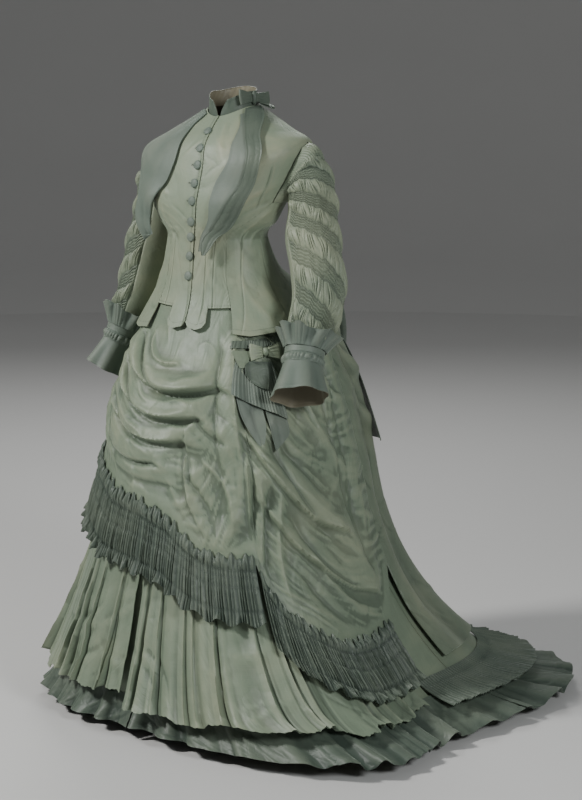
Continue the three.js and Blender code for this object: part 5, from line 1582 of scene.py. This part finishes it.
laid_strip(
    "pocket_tab_back", on_apron,
    [(4.02, 57.6, 5.2, 4.12, 68.5, 5.2), (4.35, 58.6, 5.7, 4.42, 69.5, 5.7),
     (4.74, 60.5, 6.2, 4.52, 68.5, 6.2)],
    SCARF, (52, 80), "hung", POCKET_RESTS, (36, 28), seed=104, hem=0.9,
    lift=lambda u, at: 1.6 * np.abs(wave(u * 0.75 + 0.2)) * smooth(0.1, 1, at),
)


def skirt_bow(name, angle, row, off, droop, size, grip, depth, loop, cuts, rests_on, material):
    """Two loops either side of a knot."""
    middle = off_skirt(angle, row, off)
    out = skirt_normal(angle, row)
    tangent = unit(np.cross(out, (0, 0, 1)))
    for side, label in ((1, "a"), (-1, "b")):
        along = unit(tangent * side + np.array((0, 0, -droop)))
        facing = unit(out - along * (out @ along))
        root = middle + along * size * grip
        ribbon_loop(f"{name}_loop_{label}", root, along, facing, *loop, cuts[0], rests_on, material)
    sizes = (size * 0.8, size * 1.2, size * depth)
    knot(f"{name}_knot", middle + out, out, sizes, cuts[1], rests_on, material)


skirt_bow(
    "pocket_bow", 61.5, 3.0, 30.6, droop=0, size=8, grip=0.84, depth=1.1, loop=(28, 33, 5),
    cuts=((34, 66), (20, 24)), rests_on=["pocket_ribbon_end"], material=LIGHT,
)
skirt_bow(
    "sash_bow", 180, 2.85, 44, droop=0.4, size=22, grip=0.86, depth=1.2, loop=(102, 112, 14),
    cuts=((115, 240), (55, 70)), rests_on=["overskirt_back"], material=DARK,
)
SASH_LEFT = [
    (2.75, 158, 24.5, 2.75, 174, 24.5),
    (3.4, 148, 27.2, 3.4, 168, 27.2),
    (4.3, 138, 34, 4.3, 160, 34),
    (5.1, 132, 42, 5.25, 156, 42),
]
SASH_RIGHT = [
    (level_to * 1.06, 360 - to, off_to - 2.2, level * 1.06, 360 - start, off - 2.2)
    for level, start, off, level_to, to, off_to in SASH_LEFT
]
for name, rows, seed in (("sash_end_left", SASH_LEFT, 111), ("sash_end_right", SASH_RIGHT, 112)):
    laid_strip(
        name, off_skirt, rows, DARK, (150, 300), "hung", ["overskirt_back"], (72, 36), seed=seed, hem=0.6
    )

# ---------------------------------------------------------------- stitches


def stitch_tree():
    """Short stitches laid end to end along drawn paths."""
    tree = bpy.data.node_groups.new("Running stitch", "GeometryNodeTree")
    tree.interface.new_socket(name="Geometry", in_out="INPUT", socket_type="NodeSocketGeometry")
    kinds = {"Pitch": "Float", "Length": "Float", "Thickness": "Float", "Thread": "Material"}
    for label, kind in kinds.items():
        tree.interface.new_socket(name=label, in_out="INPUT", socket_type=f"NodeSocket{kind}")
    tree.interface.new_socket(name="Geometry", in_out="OUTPUT", socket_type="NodeSocketGeometry")
    given = add_node(tree, "NodeGroupInput").outputs

    def step(kind, output, values, **settings):
        return add_node(tree, f"GeometryNode{kind}", values, **settings).outputs[output]

    curve = step("MeshToCurve", "Curve", {"Mesh": given["Geometry"]})
    points = add_node(
        tree, "GeometryNodeCurveToPoints", {"Curve": curve, "Length": given["Pitch"]}, mode="LENGTH"
    ).outputs
    radius = maths(tree, "MULTIPLY", given["Thickness"], 0.5)
    form = {"Vertices": 6, "Radius": radius, "Depth": given["Length"]}
    thread = step("MeshCylinder", "Mesh", form, fill_type="TRIANGLE_FAN")
    laid = {"Points": points["Points"], "Instance": thread, "Rotation": points["Rotation"]}
    placed = step("InstanceOnPoints", "Instances", laid)
    real = step("RealizeInstances", "Geometry", {"Geometry": placed})
    sewn = step("SetMaterial", "Geometry", {"Geometry": real, "Material": given["Thread"]})
    add_node(tree, "NodeGroupOutput", {"Geometry": sewn})
    return tree


STITCHES = stitch_tree()


THREAD = {"darker": 0.55, "scale": 60.0, "Roughness": 0.5, "Sheen_Weight": 0.3}
PALE_THREAD = clouded("Sage silk thread", (0.16, 0.2, 0.14), **THREAD)
DARK_THREAD = clouded("Dark silk thread", (0.05, 0.07, 0.052), **THREAD)


def stitch(name, paths, pitch, length, thickness, thread):
    """Stitches along paths given in millimetres, as one piece."""
    mesh = bpy.data.meshes.new(name)
    starts = np.cumsum([0] + [len(p) for p in paths[:-1]])
    steps = [np.arange(len(path) - 1)[:, None] + (0, 1) + start for path, start in zip(paths, starts)]
    edges = np.concatenate(steps)
    mesh.from_pydata((np.concatenate(paths) * MM).tolist(), edges.tolist(), [])
    piece = bpy.data.objects.new(name, mesh)
    bpy.context.scene.collection.objects.link(piece)
    sewing = piece.modifiers.new("Stitches", "NODES")
    sewing.node_group = STITCHES
    sockets = {i.name: i.identifier for i in STITCHES.interface.items_tree if i.in_out == "INPUT"}
    values = {"Pitch": pitch * MM, "Length": length * MM, "Thickness": thickness * MM, "Thread": thread}
    for label, value in values.items():
        sewing[sockets[label]] = value
    bpy.context.view_layer.update()
    sewn = bpy.data.meshes.new_from_object(piece.evaluated_get(bpy.context.evaluated_depsgraph_get()))
    piece.modifiers.clear()
    piece.data = sewn
    sewn.polygons.foreach_set("use_smooth", np.ones(len(sewn.polygons), bool))
    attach(piece, BODY)


# Bars of stitches beside each button: degrees from its middle, levels either way, and their stand.
BUTTONHOLE = {"from": -5.2, "to": -3, "half": 0.02475, "stand": 0.7}
bar = BUTTON["angle"] + spread(BUTTONHOLE["from"], BUTTONHOLE["to"], 8)
bars = [
    off_bodice(bar, level + side * BUTTONHOLE["half"], BUTTONHOLE["stand"])
    for level, _ in BUTTONS
    for side in (-1, 1)
]
stitch("buttonhole_stitches", bars, 0.8, 1.5, 0.75, DARK_THREAD)
stitch("basque_stitches", BASQUE_SEWING, 3.2, 2.3, 0.5, DARK_THREAD)
for name, rows in FLOUNCE_THREADS.items():
    stitch(f"{name}_threads", rows, 4.4, 3.0, 0.7, DARK_THREAD)
for name, rows in SMOCKING_THREADS.items():
    stitch(f"smocking_{name}_threads", rows, 5.2, 3.6, 0.6, PALE_THREAD)

# ---------------------------------------------------------------- stage, light and camera

SWEEP = table(
    "out up", [(0, 0), (7, 0), (8.5, 0.12), (10, 0.6), (11.2, 1.5), (12, 2.8), (12.2, 4.5), (12.2, 7)]
)
turn = spread(0, 2 * np.pi, 96)[:-1]
out, up = (SWEEP[name][1:, None] for name in ("out", "up"))
rings = stacked(out * np.cos(turn), out * np.sin(turn), up - WAIST_HEIGHT * MM)
middle = np.array([[0, 0, -WAIST_HEIGHT * MM]])
sides, disc = capped(*rings.shape[:2])[:2]
floor = mesh_object("floor", np.concatenate([rings.reshape(-1, 3), middle]) / MM, [sides, disc[:, ::-1]])
floor.data.materials.append(clouded("Pale floor", (0.55, 0.55, 0.54), 0.96, 1.4, Roughness=0.8))

world = bpy.data.worlds.new("Studio")
bpy.context.scene.world = world
world.use_nodes = True
backdrop = world.node_tree.nodes["Background"]
backdrop.inputs["Color"].default_value = (0.8, 0.81, 0.82, 1)
backdrop.inputs["Strength"].default_value = 0.2


def soft_light(name, place, target, size, power, colour=(1, 1, 1)):
    light = bpy.data.lights.new(name, "AREA")
    light.shape = "DISK"
    light.size = size
    light.energy = power
    light.color = colour
    obj = bpy.data.objects.new(name, light)
    obj.location = place
    obj.rotation_euler = (Vector(target) - Vector(place)).to_track_quat("-Z", "Y").to_euler()
    bpy.context.scene.collection.objects.link(obj)


soft_light("Key", (-1.7, -2.9, 2.3), (0, 0, -0.2), 0.7, 195, (1, 0.99, 0.97))
soft_light("Fill", (3.6, -1.2, 1.2), (0, 0, -0.3), 1.0, 84, (0.97, 0.99, 1))
soft_light("Rim", (-2.4, 2.8, 2.2), (0, 0, 0), 1.8, 60)

CAMERA = {"azimuth": 38, "distance": 4.40, "height": 1.45, "pitch": 9.8, "aside": 0.163, "lens": 90}
azimuth, pitch = CAMERA["azimuth"] * DEG, CAMERA["pitch"] * DEG
right = Vector((math.cos(azimuth), math.sin(azimuth), 0))
ahead = Vector((-math.sin(azimuth), math.cos(azimuth), 0))
camera_data = bpy.data.cameras.new("Camera")
camera_data.lens = CAMERA["lens"]
camera_data.sensor_width = 36
camera = bpy.data.objects.new("Camera", camera_data)
camera.location = right * CAMERA["aside"] - ahead * CAMERA["distance"]
camera.location.z = CAMERA["height"] - WAIST_HEIGHT * MM
look = ahead * math.cos(pitch) - Vector((0, 0, math.sin(pitch)))
camera.rotation_euler = look.to_track_quat("-Z", "Y").to_euler()
bpy.context.scene.collection.objects.link(camera)
bpy.context.scene.camera = camera
